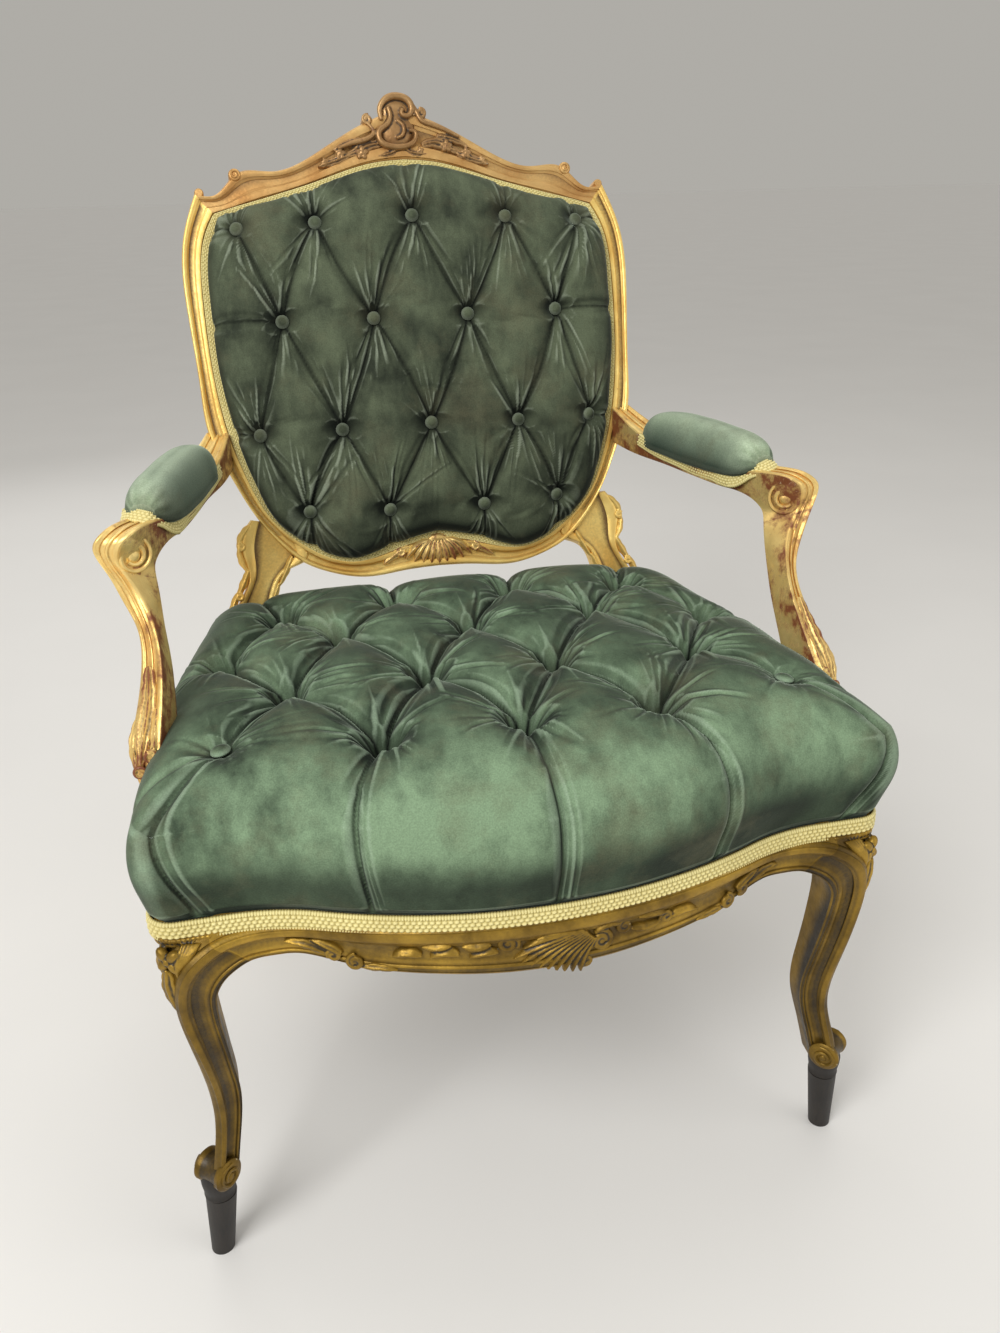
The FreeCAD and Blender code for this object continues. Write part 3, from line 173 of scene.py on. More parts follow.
def loft(rings, caps=True, loop=False):
    """A skin over rings of equally many points."""
    rings = np.asarray(rings, float)
    count, around = rings.shape[:2]
    faces = []
    for i in range(count if loop else count - 1):
        j = (i + 1) % count
        for k in range(around):
            m = (k + 1) % around
            faces.append((i * around + k, i * around + m, j * around + m, j * around + k))
    if caps and not loop:
        faces.append(tuple(range(around))[::-1])
        faces.append(tuple(range((count - 1) * around, count * around)))
    return Form(rings, faces)


def net(grid):
    """An open sheet over a grid of points."""
    rows, columns = grid.shape[:2]
    faces = [(i * columns + k, i * columns + k + 1, (i + 1) * columns + k + 1, (i + 1) * columns + k)
             for i in range(rows - 1) for k in range(columns - 1)]
    return Form(grid, faces)


# A slanted direction, to start the frames of a path that names no normal
SLANT = (0.31, 0.17, 0.93)


def frames_along(path, normal=None):
    """Tangent, normal and side at each point of a path, turned as little as possible."""
    tangent = unit(np.gradient(path, axis=0))
    if normal is None:
        normals = [unit(np.cross(tangent[0], SLANT))]
        for t in tangent[1:]:
            normals.append(unit(normals[-1] - t * (normals[-1] @ t)))
        normals = np.array(normals)
    else:
        normals = np.broadcast_to(normal, path.shape)
        normals = unit(normals - tangent * np.sum(normals * tangent, axis=1, keepdims=True))
    return tangent, normals, np.cross(tangent, normals)


def tube(path, radii, sides=10):
    path = np.asarray(path, float)
    radii = np.interp(np.linspace(0, 1, len(path)), np.linspace(0, 1, len(radii)), radii)
    _, normal, side = frames_along(path)
    turn = angles(sides)
    ring = normal[:, None] * np.cos(turn)[:, None] + side[:, None] * np.sin(turn)[:, None]
    return loft(path[:, None] + ring * radii[:, None, None])


def ball(centre, radii, axes=None, rings=9, sides=14):
    """A closed rounded lump; axes are its own three directions."""
    lift = np.linspace(-math.pi / 2, math.pi / 2, rings + 2)[1:-1]
    turn = angles(sides)
    local = np.stack([np.cos(lift)[:, None] * np.cos(turn), np.cos(lift)[:, None] * np.sin(turn),
                      np.sin(lift)[:, None] * np.ones(sides)], axis=-1) * radii
    own = np.eye(3) if axes is None else np.asarray(axes, float)
    return loft(np.asarray(centre, float) + local @ own)


def axes_to(normal, up=(0, 0, 1)):
    """Right, up and outward directions of a face with that normal."""
    out = unit(np.asarray(normal, float))
    right = unit(np.cross(up, out))
    return np.array([right, np.cross(out, right), out])


def spiral(centre, normal, start_radius, end_radius, turns, start, thick, hand=1, eye=0.0, up=(0, 0, 1)):
    """A raised scroll on a face, that winds in to an eye; start is in turns from the face's right."""
    axes = axes_to(normal, up)
    right, rise = axes[:2]
    share = np.linspace(0, 1, int(26 * turns) + 4)[:, None]
    angle = 2 * math.pi * (start + hand * turns * share)
    radius = start_radius + (end_radius - start_radius) * share ** 0.8
    path = np.asarray(centre, float) + radius * (np.cos(angle) * right + np.sin(angle) * rise)
    made = tube(path, [thick * 0.6, thick, thick, thick * 0.8], 8)
    if eye:
        made.join(ball(centre, (eye, eye, eye * 0.6), axes))
    return made


def frond(path, normal, width, rise, lobes=0, ribs=2, sink=4.0, count=26):
    """A carved leaf along a path: tapered, ribbed, with lobed edges."""
    line = even(through(path, 4 * count), count)
    _, out, side = frames_along(line, normal)
    share = np.linspace(0, 1, count)
    taper = np.sin(math.pi * np.clip(share * 0.86 + 0.12, 0, 1)) ** 0.7
    half = width / 2 * taper * (1 + 0.22 * np.abs(np.sin(math.pi * lobes * share)) - 0.1 * (lobes > 0))
    across = np.linspace(-1, 1, 11)
    crown = (1 - across ** 2) ** 0.5 * 0.7 + 0.3 * np.cos(math.pi * ribs * across) * (1 - np.abs(across))
    lift = rise * (0.45 + 0.55 * taper)
    top = (line[:, None] + side[:, None] * (half[:, None] * across)[..., None]
           + out[:, None] * (lift[:, None] * crown)[..., None])
    low = [line[:, None] + side[:, None] * (half * edge)[:, None, None] - out[:, None] * sink
           for edge in (0.8, -0.8)]
    return loft(np.concatenate([top] + low, axis=1))


def linked(name, data):
    """An object with that data, in the scene."""
    made = bpy.data.objects.new(name, data)
    bpy.context.scene.collection.objects.link(made)
    return made


def outward(name, points, faces):
    """A mesh with its faces turned outward."""
    mesh = bpy.data.meshes.new(name)
    mesh.from_pydata(points.tolist(), [], faces)
    shaped = bmesh.new()
    shaped.from_mesh(mesh)
    bmesh.ops.recalc_face_normals(shaped, faces=shaped.faces)
    shaped.to_mesh(mesh)
    shaped.free()
    return mesh


# Voxel of a fused carving in millimetres, and the rounds that soften it
GESSO_VOXEL = 0.9
GESSO_ROUNDS = 1


def fused(form):
    """One carved skin round overlapping lumps, as gesso leaves it."""
    mesh = outward("carving", form.points, form.faces)
    holder = linked("carving", mesh)
    remesh = holder.modifiers.new("fuse", "REMESH")
    remesh.mode = "VOXEL"
    remesh.voxel_size = GESSO_VOXEL
    smooth = holder.modifiers.new("soften", "SMOOTH")
    smooth.iterations = GESSO_ROUNDS
    smooth.factor = 0.5
    made = holder.evaluated_get(bpy.context.evaluated_depsgraph_get()).to_mesh()
    points = np.array([v.co for v in made.vertices])
    faces = [tuple(f.vertices) for f in made.polygons]
    bpy.data.objects.remove(holder)
    bpy.data.meshes.remove(mesh)
    return Form(points, faces)


def relief(mesh, rounds):
    """How proud of its surroundings each point stands: ridges up to 1, grooves down to -1."""
    count = len(mesh.vertices)
    points = np.empty(count * 3)
    normals = np.empty(count * 3)
    ends = np.empty(len(mesh.edges) * 2, np.int32)
    mesh.vertices.foreach_get("co", points)
    mesh.vertices.foreach_get("normal", normals)
    mesh.edges.foreach_get("vertices", ends)
    a, b = ends.reshape(-1, 2).T
    shared = np.maximum(np.bincount(ends, minlength=count), 1)[:, None]
    points = points.reshape(-1, 3)
    smooth = points
    for _ in range(rounds):
        total = [np.bincount(a, smooth[b, k], count) + np.bincount(b, smooth[a, k], count)
                 for k in range(3)]
        smooth = (smooth + np.stack(total, axis=1) / shared) / 2
    proud = np.sum((points - smooth) * normals.reshape(-1, 3), axis=1)
    return np.clip(proud / max(np.percentile(np.abs(proud), RELIEF_FULL), 1e-7), -1, 1)


def piece(name, form, finish, stands_for=(), marks=None, crisp=40, rounds=CARVING_ROUNDS):
    """A piece of the chair on its body. marks: values at its points; crisp: least angle of a sharp edge;
    rounds: how widely its relief is measured."""
    mesh = outward(name, (form.points + SHIFT) * MM, form.faces)
    mesh.shade_smooth()
    if crisp:
        mesh.set_sharp_from_angle(angle=math.radians(crisp))
    for mark, values in {**(marks or {}), "relief": relief(mesh, rounds)}.items():
        layer = mesh.attributes.new(mark, "FLOAT", "POINT")
        layer.data.foreach_set("value", np.asarray(values, np.float32).ravel())
    mesh.materials.append(finish)
    made = linked(name, mesh)
    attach(made, "root")
    if stands_for:
        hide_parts(*stands_for)
    return made


def hands(form):
    """A form for the right side and its mirror image for the left."""
    return ("right", form), ("left", form.mirrored())


def pair(name, form, finish, node=None):
    """A piece and its mirror image; node is the stem of the CAD nodes they stand for."""
    for side, shape in hands(form):
        piece(name + "_" + side, shape, finish, [node + "_" + side] if node else ())


# Lines of the chair
def front_face(x):
    """Y of the front rail's face."""
    x = np.abs(np.asarray(x, float))
    bow = BOW_Y + BOW_RADIUS - np.sqrt(BOW_RADIUS ** 2 - np.minimum(x, BOW_END_X) ** 2)
    reach = np.clip(FLAT_X - x, 0, FLAT_X - BOW_END_X)
    reverse = FLAT_Y - REVERSE_RADIUS + np.sqrt(REVERSE_RADIUS ** 2 - reach ** 2)
    return np.where(x < BOW_END_X, bow, reverse)


def both_halves(half):
    """A closed plan from its right half."""
    return np.vstack([half, (half * (-1, 1))[-2:0:-1]])


def seat_outline(count, grow=0.0):
    """The rails' outer line, anticlockwise from the front centre."""
    x = np.linspace(0, FLAT_X, 80)
    front = np.stack([x, front_face(x)], axis=1)
    side = through([(FRONT_HALF, FLAT_Y + CORNER), SIDE_MID, (REAR_HALF, REAR_Y - CORNER)], 80)
    rounds = []
    for x, y, start in ((FRONT_HALF, FLAT_Y + CORNER, -math.pi / 2), (REAR_HALF, REAR_Y - CORNER, 0)):
        turn = np.linspace(start, start + math.pi / 2, 12)
        rounds.append(np.stack([x - CORNER + CORNER * np.cos(turn), y + CORNER * np.sin(turn)], axis=1))
    half = np.vstack([front, rounds[0], side[1:], rounds[1][1:], [(0, REAR_Y)]])
    line = even(both_halves(half), count, closed=True)
    tangent = unit(np.roll(line, -1, axis=0) - np.roll(line, 1, axis=0))
    return line + grow * np.stack([tangent[:, 1], -tangent[:, 0]], axis=1)


def on_back(flat):
    """Points (x, s, n) of the back's own plane, in the chair."""
    x, s, n = np.moveaxis(np.asarray(flat, float), -1, 0)
    return np.stack([x, BACK_Y + s * math.sin(RAKE) - n * math.cos(RAKE),
                     BACK_Z + s * math.cos(RAKE) + n * math.sin(RAKE)], axis=-1)


BACK_NORMAL = np.array([0.0, -math.cos(RAKE), math.sin(RAKE)])
BACK_UP = np.array([0.0, math.sin(RAKE), math.cos(RAKE)])
BACK_AXES = axes_to(BACK_NORMAL, BACK_UP)
UP = np.array([0.0, 0.0, 1.0])


def inset(outer, inner, distance):
    """The inner line, moved on from the outer one."""
    outer = np.asarray(outer, float)
    inner = np.asarray(inner, float)
    return inner + unit(inner - outer) * distance


def back_outline(distance, count):
    """The frame's inner line moved inward, anticlockwise from the foot's centre."""
    sill = through(inset(SILL_OUTER, SILL_INNER, distance)[::-1], 60)
    stile = through(inset(STILE_OUTER, STILE_INNER, distance)[::-1], 80)
    crest = through(inset(CREST_OUTER, CREST_INNER, distance), 70)
    half = np.vstack([sill, stile[1:], crest[1:]])
    return even(both_halves(half), count, closed=True)


# Materials
def linear(code):
    """An sRGB hex colour as linear values."""
    parts = [int(code[k:k + 2], 16) / 255 for k in (1, 3, 5)]
    return tuple(c / 12.92 if c <= 0.04045 else ((c + 0.055) / 1.055) ** 2.4 for c in parts) + (1.0,)


def per(size):
    """Texture scale that repeats once in size millimetres."""
    return 1000.0 / size


def feed(tree, node, inputs):
    """Sets a node's inputs; one given as (node, output) is a link."""
    for key, value in inputs.items():
        if isinstance(value, tuple) and isinstance(value[0], bpy.types.Node):
            tree.links.new(value[0].outputs[value[1]], node.inputs[key])
        else:
            node.inputs[key].default_value = value
    return node


def add(tree, kind, inputs=None, **settings):
    """A node with its settings and links."""
    made = tree.nodes.new("ShaderNode" + kind)
    for key, value in settings.items():
        setattr(made, key, value)
    return feed(tree, made, inputs or {})


def surface(name):
    """A new material's tree, its shader and its place on the object."""
    made = bpy.data.materials.new(name)
    made.use_nodes = True
    tree = made.node_tree
    return made, tree, tree.nodes["Principled BSDF"], add(tree, "TexCoord")


# Direction of the painted light on the velvet: faces turned toward it are painted paler, faces turned away
# darker
PAINTED_LIGHT_DIRECTION = (-0.25, -0.76, 0.6)


def velvet(name, ground, pale, painted_highlight, shade):
    """Cotton velvet, cut pile, rubbed and faded, with painted light: paler on faces turned toward a set light
    direction, a painted highlight on the ridges of folds, and painted shade near black inside them."""
    made, tree, shader, place = surface(name)
    at = (place, "Object")
    drawn = add(tree, "Mapping", {"Vector": at, "Scale": (1.0, 0.6, 0.6)})
    rub = add(tree, "TexNoise", {"Vector": at, "Scale": per(120), "Detail": 5.0, "Roughness": 0.6})
    brush = add(tree, "TexNoise", {"Vector": (drawn, "Vector"), "Scale": per(26), "Detail": 6.0,
                                   "Roughness": 0.58})
    pile = add(tree, "TexNoise", {"Vector": at, "Scale": per(1.3), "Detail": 2.0})
    shape = add(tree, "NewGeometry")
    # Painted light: how far each face turns toward the painted light's direction, later multiplied by the
    # rubbed patches
    slope = add(tree, "VectorMath", {0: (shape, "Normal"), 1: PAINTED_LIGHT_DIRECTION}, operation="DOT_PRODUCT")
    painted_light_and_wear = add(tree, "MapRange", {"Value": (slope, "Value"), "From Min": 0.45, "From Max": 1.0})
    worn = add(tree, "Math", {0: (rub, "Fac"), 1: (brush, "Fac")}, operation="ADD")
    worn = add(tree, "MapRange", {"Value": (worn, "Value"), "From Min": 0.7, "From Max": 1.3,
                                  "To Min": 0.2, "To Max": 1.45})
    painted_light_and_wear = add(tree, "Math", {0: (painted_light_and_wear, "Result"), 1: (worn, "Result")}, operation="MULTIPLY")
    ridge = add(tree, "Attribute", attribute_name="relief")
    # Painted highlight: the ridges of folds and tufts are mixed toward a pale highlight colour
    painted_ridge_highlight = add(tree, "MapRange", {"Value": (ridge, "Fac"), "From Min": 0.3, "To Max": 0.5})
    # Painted shade: pleats, button pits and thin folds are mixed toward the near-black shade colour
    painted_shade = add(tree, "Attribute", attribute_name="painted_shade")
    colour = add(tree, "Mix", {0: (painted_light_and_wear, "Value"), 6: linear(ground), 7: linear(pale)}, data_type="RGBA")
    colour = add(tree, "Mix", {0: (painted_ridge_highlight, "Result"), 6: (colour, 2), 7: linear(painted_highlight)}, data_type="RGBA")
    soil = add(tree, "TexNoise", {"Vector": at, "Scale": per(75), "Detail": 7.0, "Roughness": 0.66})
    soil = add(tree, "MapRange", {"Value": (soil, "Fac"), "From Min": 0.5, "From Max": 0.72, "To Max": 0.55})
    soiled = add(tree, "Mix", {0: (soil, "Result"), 6: (colour, 2), 7: linear("#5f5d47")}, data_type="RGBA")
    deep = add(tree, "Mix", {0: (painted_shade, "Fac"), 6: (soiled, 2), 7: linear(shade)}, data_type="RGBA")
    fine = add(tree, "MapRange", {"Value": (pile, "Fac"), "From Min": 0.3, "From Max": 0.7,
                                  "To Min": 0.82, "To Max": 1.12})
    dust = add(tree, "Mix", {0: 1.0, 6: (deep, 2), 7: (fine, "Result")}, data_type="RGBA",
               blend_type="MULTIPLY")
    bump = add(tree, "Bump", {"Height": (pile, "Fac"), "Strength": 0.25, "Distance": 0.0007})
    soft = add(tree, "Bump", {"Height": (brush, "Fac"), "Strength": 0.3, "Distance": 0.0015,
                              "Normal": (bump, "Normal")})
    feed(tree, shader, {"Base Color": (dust, 2), "Normal": (soft, "Normal"), "Roughness": 0.86,
                        "Specular IOR Level": 0.15, "Sheen Weight": 0.7, "Sheen Roughness": 0.3,
                        "Sheen Tint": linear("#b9c8b4")})
    return made


def water_gilding(name, leaf, toned, bole, wash, rub, grime, patchy=0.0):
    """Gold leaf burnished on red bole and gesso: toned with a brown wash that stays in the grooves, rubbed
    on the ridges."""
    made, tree, shader, place = surface(name)
    at = (place, "Object")
    cloud = add(tree, "TexNoise", {"Vector": at, "Scale": per(55), "Detail": 6.0, "Roughness": 0.6})
    fleck = add(tree, "TexNoise", {"Vector": at, "Scale": per(10), "Detail": 6.0, "Roughness": 0.68})
    scuff = add(tree, "TexNoise", {"Vector": at, "Scale": per(2.6), "Detail": 3.0, "Roughness": 0.6})
    carved = add(tree, "Attribute", attribute_name="relief")
    tone = add(tree, "MapRange", {"Value": (cloud, "Fac"), "From Min": 0.34, "From Max": 0.66})
    gold = add(tree, "Mix", {0: (tone, "Result"), 6: linear(leaf), 7: linear(toned)}, data_type="RGBA")
    worn = add(tree, "Mix", {0: patchy, 2: (fleck, "Fac"), 3: (cloud, "Fac")})
    rubbed = add(tree, "Math", {0: (carved, "Fac"), 1: 0.12, 2: (worn, 0)}, operation="MULTIPLY_ADD")
    rubbed = add(tree, "MapRange", {"Value": (rubbed, "Value"), "From Min": 0.74 - rub,
                                    "From Max": 0.84 - rub})
    bare = add(tree, "Mix", {0: (rubbed, "Result"), 6: (gold, 2), 7: linear(bole)}, data_type="RGBA")
    spread = add(tree, "Math", {0: (scuff, "Fac"), 1: 0.36, 2: -0.18}, operation="MULTIPLY_ADD")
    dirt = add(tree, "Math", {0: (carved, "Fac"), 1: -0.8, 2: (spread, "Value")}, operation="MULTIPLY_ADD")
    dirt = add(tree, "MapRange", {"Value": (dirt, "Value"), "From Min": 0.22 - grime,
                                  "From Max": 0.72 - grime, "To Max": 0.92})
    washed = add(tree, "Mix", {0: (dirt, "Result"), 6: (bare, 2), 7: linear(wash)}, data_type="RGBA")
    chip = add(tree, "TexNoise", {"Vector": at, "Scale": per(5), "Detail": 4.0, "Roughness": 0.75})
    chip = add(tree, "Math", {0: (carved, "Fac"), 1: 0.14, 2: (chip, "Fac")}, operation="MULTIPLY_ADD")
    chip = add(tree, "MapRange", {"Value": (chip, "Value"), "From Min": 0.78, "From Max": 0.81,
                                  "To Max": 0.8})
    chipped = add(tree, "Mix", {0: (chip, "Result"), 6: (washed, 2), 7: linear("#d8c9a2")}, data_type="RGBA")
    cover = add(tree, "Math", {0: (rubbed, "Result"), 1: (dirt, "Result")}, operation="MAXIMUM")
    metal = add(tree, "MapRange", {"Value": (cover, "Value"), "To Min": 0.66, "To Max": 0.08})
    rough = add(tree, "MapRange", {"Value": (fleck, "Fac"), "From Min": 0.3, "From Max": 0.7,
                                   "To Min": 0.33, "To Max": 0.56})
    grain = add(tree, "Bump", {"Height": (scuff, "Fac"), "Strength": 0.3, "Distance": 0.0006})
    gesso = add(tree, "Bump", {"Height": (fleck, "Fac"), "Strength": 0.3, "Distance": 0.0012,
                               "Normal": (grain, "Normal")})
    feed(tree, shader, {"Base Color": (chipped, 2), "Metallic": (metal, "Result"),
                        "Roughness": (rough, "Result"), "Normal": (gesso, "Normal")})
    return made


def silk_braid(name, light, dark):
    """Woven silk trimming: round yellow cords, dull with age, with painted shade between the cords."""
    made, tree, shader, place = surface(name)
    at = (place, "Object")
    thread = add(tree, "TexNoise", {"Vector": at, "Scale": per(0.9), "Detail": 2.0})
    age = add(tree, "TexNoise", {"Vector": at, "Scale": per(60), "Detail": 4.0})
    gap = add(tree, "Attribute", attribute_name="painted_shade")
    aged = add(tree, "Mix", {0: (age, "Fac"), 6: linear(light), 7: linear("#cdbd7d")}, data_type="RGBA")
    body = add(tree, "Mix", {0: (gap, "Fac"), 6: (aged, 2), 7: linear(dark)}, data_type="RGBA")
    bump = add(tree, "Bump", {"Height": (thread, "Fac"), "Strength": 0.4, "Distance": 0.0004})
    feed(tree, shader, {"Base Color": (body, 2), "Normal": (bump, "Normal"), "Roughness": 0.6,
                        "Sheen Weight": 0.25, "Sheen Tint": linear("#f3ecc4")})
    return made


def wood(name, light, dark, rough, grain):
    """Planed wood: long streaks of darker grain; grain is their width in millimetres."""
    made, tree, shader, place = surface(name)
    stretch = add(tree, "Mapping", {"Vector": (place, "Object"), "Scale": (1.0, 1.0, 0.08)})
    streak = add(tree, "TexNoise", {"Vector": (stretch, "Vector"), "Scale": per(grain), "Detail": 6.0,
                                    "Roughness": 0.65})
    patch = add(tree, "TexNoise", {"Vector": (place, "Object"), "Scale": per(40), "Detail": 3.0})
    mixed = add(tree, "Math", {0: (streak, "Fac"), 1: (patch, "Fac")}, operation="MULTIPLY")
    share = add(tree, "MapRange", {"Value": (mixed, "Value"), "From Min": 0.12, "From Max": 0.42})
    colour = add(tree, "Mix", {0: (share, "Result"), 6: linear(dark), 7: linear(light)}, data_type="RGBA")
    bump = add(tree, "Bump", {"Height": (streak, "Fac"), "Strength": 0.3, "Distance": 0.0008})
    feed(tree, shader, {"Base Color": (colour, 2), "Normal": (bump, "Normal"), "Roughness": rough})
    return made


# Divides a wave texture's scale so that a band is about one thread wide
WAVE_BAND = 6.3


def woven(name, light, dark, thread):
    """Plain woven cloth: crossing threads, drawn coarse enough to show; thread is a thread's width in
    millimetres."""
    made, tree, shader, place = surface(name)
    at = (place, "Object")
    fields = []
    for axis, turn in (("X", 0.0), ("Y", 1.0)):
        wave = {"Vector": at, "Scale": per(thread) / WAVE_BAND, "Distortion": 0.6, "Detail": 2.0,
                "Phase Offset": turn}
        fields.append(add(tree, "TexWave", wave, bands_direction=axis))
    weave = add(tree, "Math", {0: (fields[0], "Fac"), 1: (fields[1], "Fac")}, operation="MULTIPLY")
    slub = add(tree, "TexNoise", {"Vector": at, "Scale": per(18), "Detail": 4.0})
    share = add(tree, "Math", {0: (weave, "Value"), 1: (slub, "Fac")}, operation="ADD")
    share = add(tree, "MapRange", {"Value": (share, "Value"), "From Min": 0.3, "From Max": 1.2})
    colour = add(tree, "Mix", {0: (share, "Result"), 6: linear(dark), 7: linear(light)}, data_type="RGBA")
    bump = add(tree, "Bump", {"Height": (weave, "Value"), "Strength": 0.5, "Distance": 0.0006})
    feed(tree, shader, {"Base Color": (colour, 2), "Normal": (bump, "Normal"), "Roughness": 0.9})
    return made


def steel(name, clean, dull):
    """Drawn steel wire and screws: dull grey with darker oxide patches."""
    made, tree, shader, place = surface(name)
    patch = add(tree, "TexNoise", {"Vector": (place, "Object"), "Scale": per(12), "Detail": 4.0})
    colour = add(tree, "Mix", {0: (patch, "Fac"), 6: linear(clean), 7: linear(dull)}, data_type="RGBA")
    rough = add(tree, "MapRange", {"Value": (patch, "Fac"), "To Min": 0.3, "To Max": 0.6})
    feed(tree, shader, {"Base Color": (colour, 2), "Roughness": (rough, "Result"), "Metallic": 1.0})
    return made


seat_velvet = velvet("cotton velvet seat", "#1b241c", "#7c9475", "#9cb197", "#060a07")
back_velvet = velvet("cotton velvet back", "#1e231d", "#5c654f", "#a0aa95", "#070b08")
pad_velvet = velvet("cotton velvet arm pad", "#3a4a3e", "#a8bb9a", "#bccbb0", "#101813")
bright_gilding = water_gilding("water gilding bright", "#f8da84", "#e0b45c", "#a0683c", "#5a3d16",
                               rub=0.04, grime=0.04)
crest_gilding = water_gilding("water gilding browned", "#dcb676", "#bd8c50", "#a06c42", "#4a2d15",
                              rub=0.11, grime=0.06, patchy=0.4)
bronze_gilding = water_gilding("water gilding bronzed", "#b8943a", "#5f4713", "#48361a", "#130d04",
                               rub=0.02, grime=0.34)
# Partly painted shade: a darker copy of the rail's bronzed gilding, for the legs that stand lower in shade
leg_gilding_shaded = water_gilding("water gilding bronzed dark", "#94752a", "#4a3710", "#3c2c14", "#0e0903",
                            rub=0.02, grime=0.4)
worn_gilding = water_gilding("water gilding worn", "#fde093", "#dcb062", "#80492a", "#3c2410",
                             rub=0.205, grime=0.1, patchy=0.62)
dusty_gilding = water_gilding("water gilding dusty", "#bf9a68", "#8a643c", "#724a2c", "#2b1d0f",
                              rub=0.08, grime=0.2)
gold_braid = silk_braid("silk braid", "#fff4b0", "#a8964a")
ebonised = wood("ebonised wood", "#2b241d", "#0f0c0a", rough=0.55, grain=3.0)
beech = wood("raw beech", "#b98a57", "#8a5f36", rough=0.7, grain=4.0)
jute = woven("jute webbing", "#b09468", "#6f5837", thread=2.2)
hessian = woven("hessian", "#a98f63", "#6b5534", thread=1.8)
black_cotton = woven("black cotton", "#2a2a2a", "#0d0d0d", thread=1.4)
green_cotton = woven("green cotton", "#55685c", "#33443b", thread=1.4)
wire_steel = steel("spring steel", "#8d8f92", "#4b4642")


# Back frame: a bead at each edge and a hollow between, over a rebated body
FRAME_FRONT = [(0.0, -6.0), (0.01, -2.4), (0.05, -0.4), (0.12, 0.6), (0.19, 0.2), (0.245, -1.4), (0.275, -3.4),
               (0.33, -4.4), (0.42, -5.2), (0.53, -5.3), (0.62, -4.4), (0.675, -3.2), (0.70, -2.9),
               (0.735, -0.8), (0.80, 0.7), (0.87, 0.9), (0.94, 0.0), (0.985, -2.0), (1.0, -4.0)]


def lifted(line, n):
    """A line of the back's plane, n in front of it."""
    return np.concatenate([line, np.broadcast_to(n, line.shape[:2] + (1,))], axis=2)


def moulded(outer, inner, count, face, samples):
    """Outer and inner line, and the moulded face between them."""
    stations = through(np.hstack([np.asarray(outer, float), np.asarray(inner, float)]), count)
    outside = stations[:, None, :2]
    inside = stations[:, None, 2:]
    profile = through(face, samples)
    return outside, inside, lifted(outside + (inside - outside) * profile[:, :1], profile[:, 1:])


def frame_rings(outer, inner, count):
    outside, inside, front = moulded(outer, inner, count, FRAME_FRONT, 44)
    inward = unit(inside - outside)
    rebate = inside + inward * RABBET_WIDTH
    rest = [lifted(line, n) for line, n in
            ((inside, -RABBET_DEPTH), (rebate, -RABBET_DEPTH), (rebate, -BACK_THICK),
             (outside + inward * 3, -BACK_THICK), (outside + inward * 0.8, -BACK_THICK + 0.8),
             (outside, -BACK_THICK + 3))]
    return on_back(np.concatenate([front] + rest, axis=1))


def both_ways(rings):
    """Rings from the side to the centre, carried on to the other side."""
    return np.concatenate([rings, (rings * (-1, 1, 1))[-2::-1]])


def curl(x, s, radius, start, hand, n=0.5, turns=1.4, thick=2.2):
    """A small scroll on the back frame."""
    return spiral(on_back((x, s, n)), BACK_NORMAL, radius, radius * 0.25, turns, start, thick, hand,
                  radius * 0.3, BACK_UP)


def drum(x, s, radius, low, high):
    """The rolled end of a scroll, standing through the frame's thickness."""
    turn = angles(28)
    rings = []
    for n, share in ((low, 0.9), (low + 2, 1.0), (high - 2.5, 1.0), (high - 0.8, 0.93), (high, 0.78)):
        rings.append(on_back(np.stack([x + radius * share * np.cos(turn), s + radius * share * np.sin(turn),
                                       np.full_like(turn, n)], axis=1)))
    return loft(rings)


def crest_rail():
    body = loft(both_ways(frame_rings(CREST_OUTER, CREST_INNER, 90)))
    step = drum(187, 412, 6.8, -22, 2.0).join(curl(187, 412, 5.4, 0.55, -1, 2.0, 1.3, 1.4))
    step.join(drum(227, 395, 5.0, -22, -1.5))
    body.join(step, step.mirrored())
    piece("crest_rail_moulded", body, crest_gilding, ["crest_rail"])


def back_frond(points, width, rise, lobes=3, ribs=2, n=-2.0):
    return frond(on_back([(x, s, n) for x, s in points]), BACK_NORMAL, width, rise, lobes, ribs)


def flower(x, s, radius, petals, n=0.0, turn=0.0):
    made = Form()
    for k in range(petals):
        angle = 2 * math.pi * (k + turn) / petals
        at = on_back((x + radius * 0.6 * math.cos(angle), s + radius * 0.6 * math.sin(angle), n))
        right, rise, out = BACK_AXES
        spin = np.array([right * math.cos(angle) + rise * math.sin(angle),
                         rise * math.cos(angle) - right * math.sin(angle), out])
        made.join(ball(at, (radius * 0.55, radius * 0.42, radius * 0.42), spin, 6, 10))
    return made.join(ball(on_back((x, s, n + 1.5)), (radius * 0.28,) * 3, None, 6, 10))


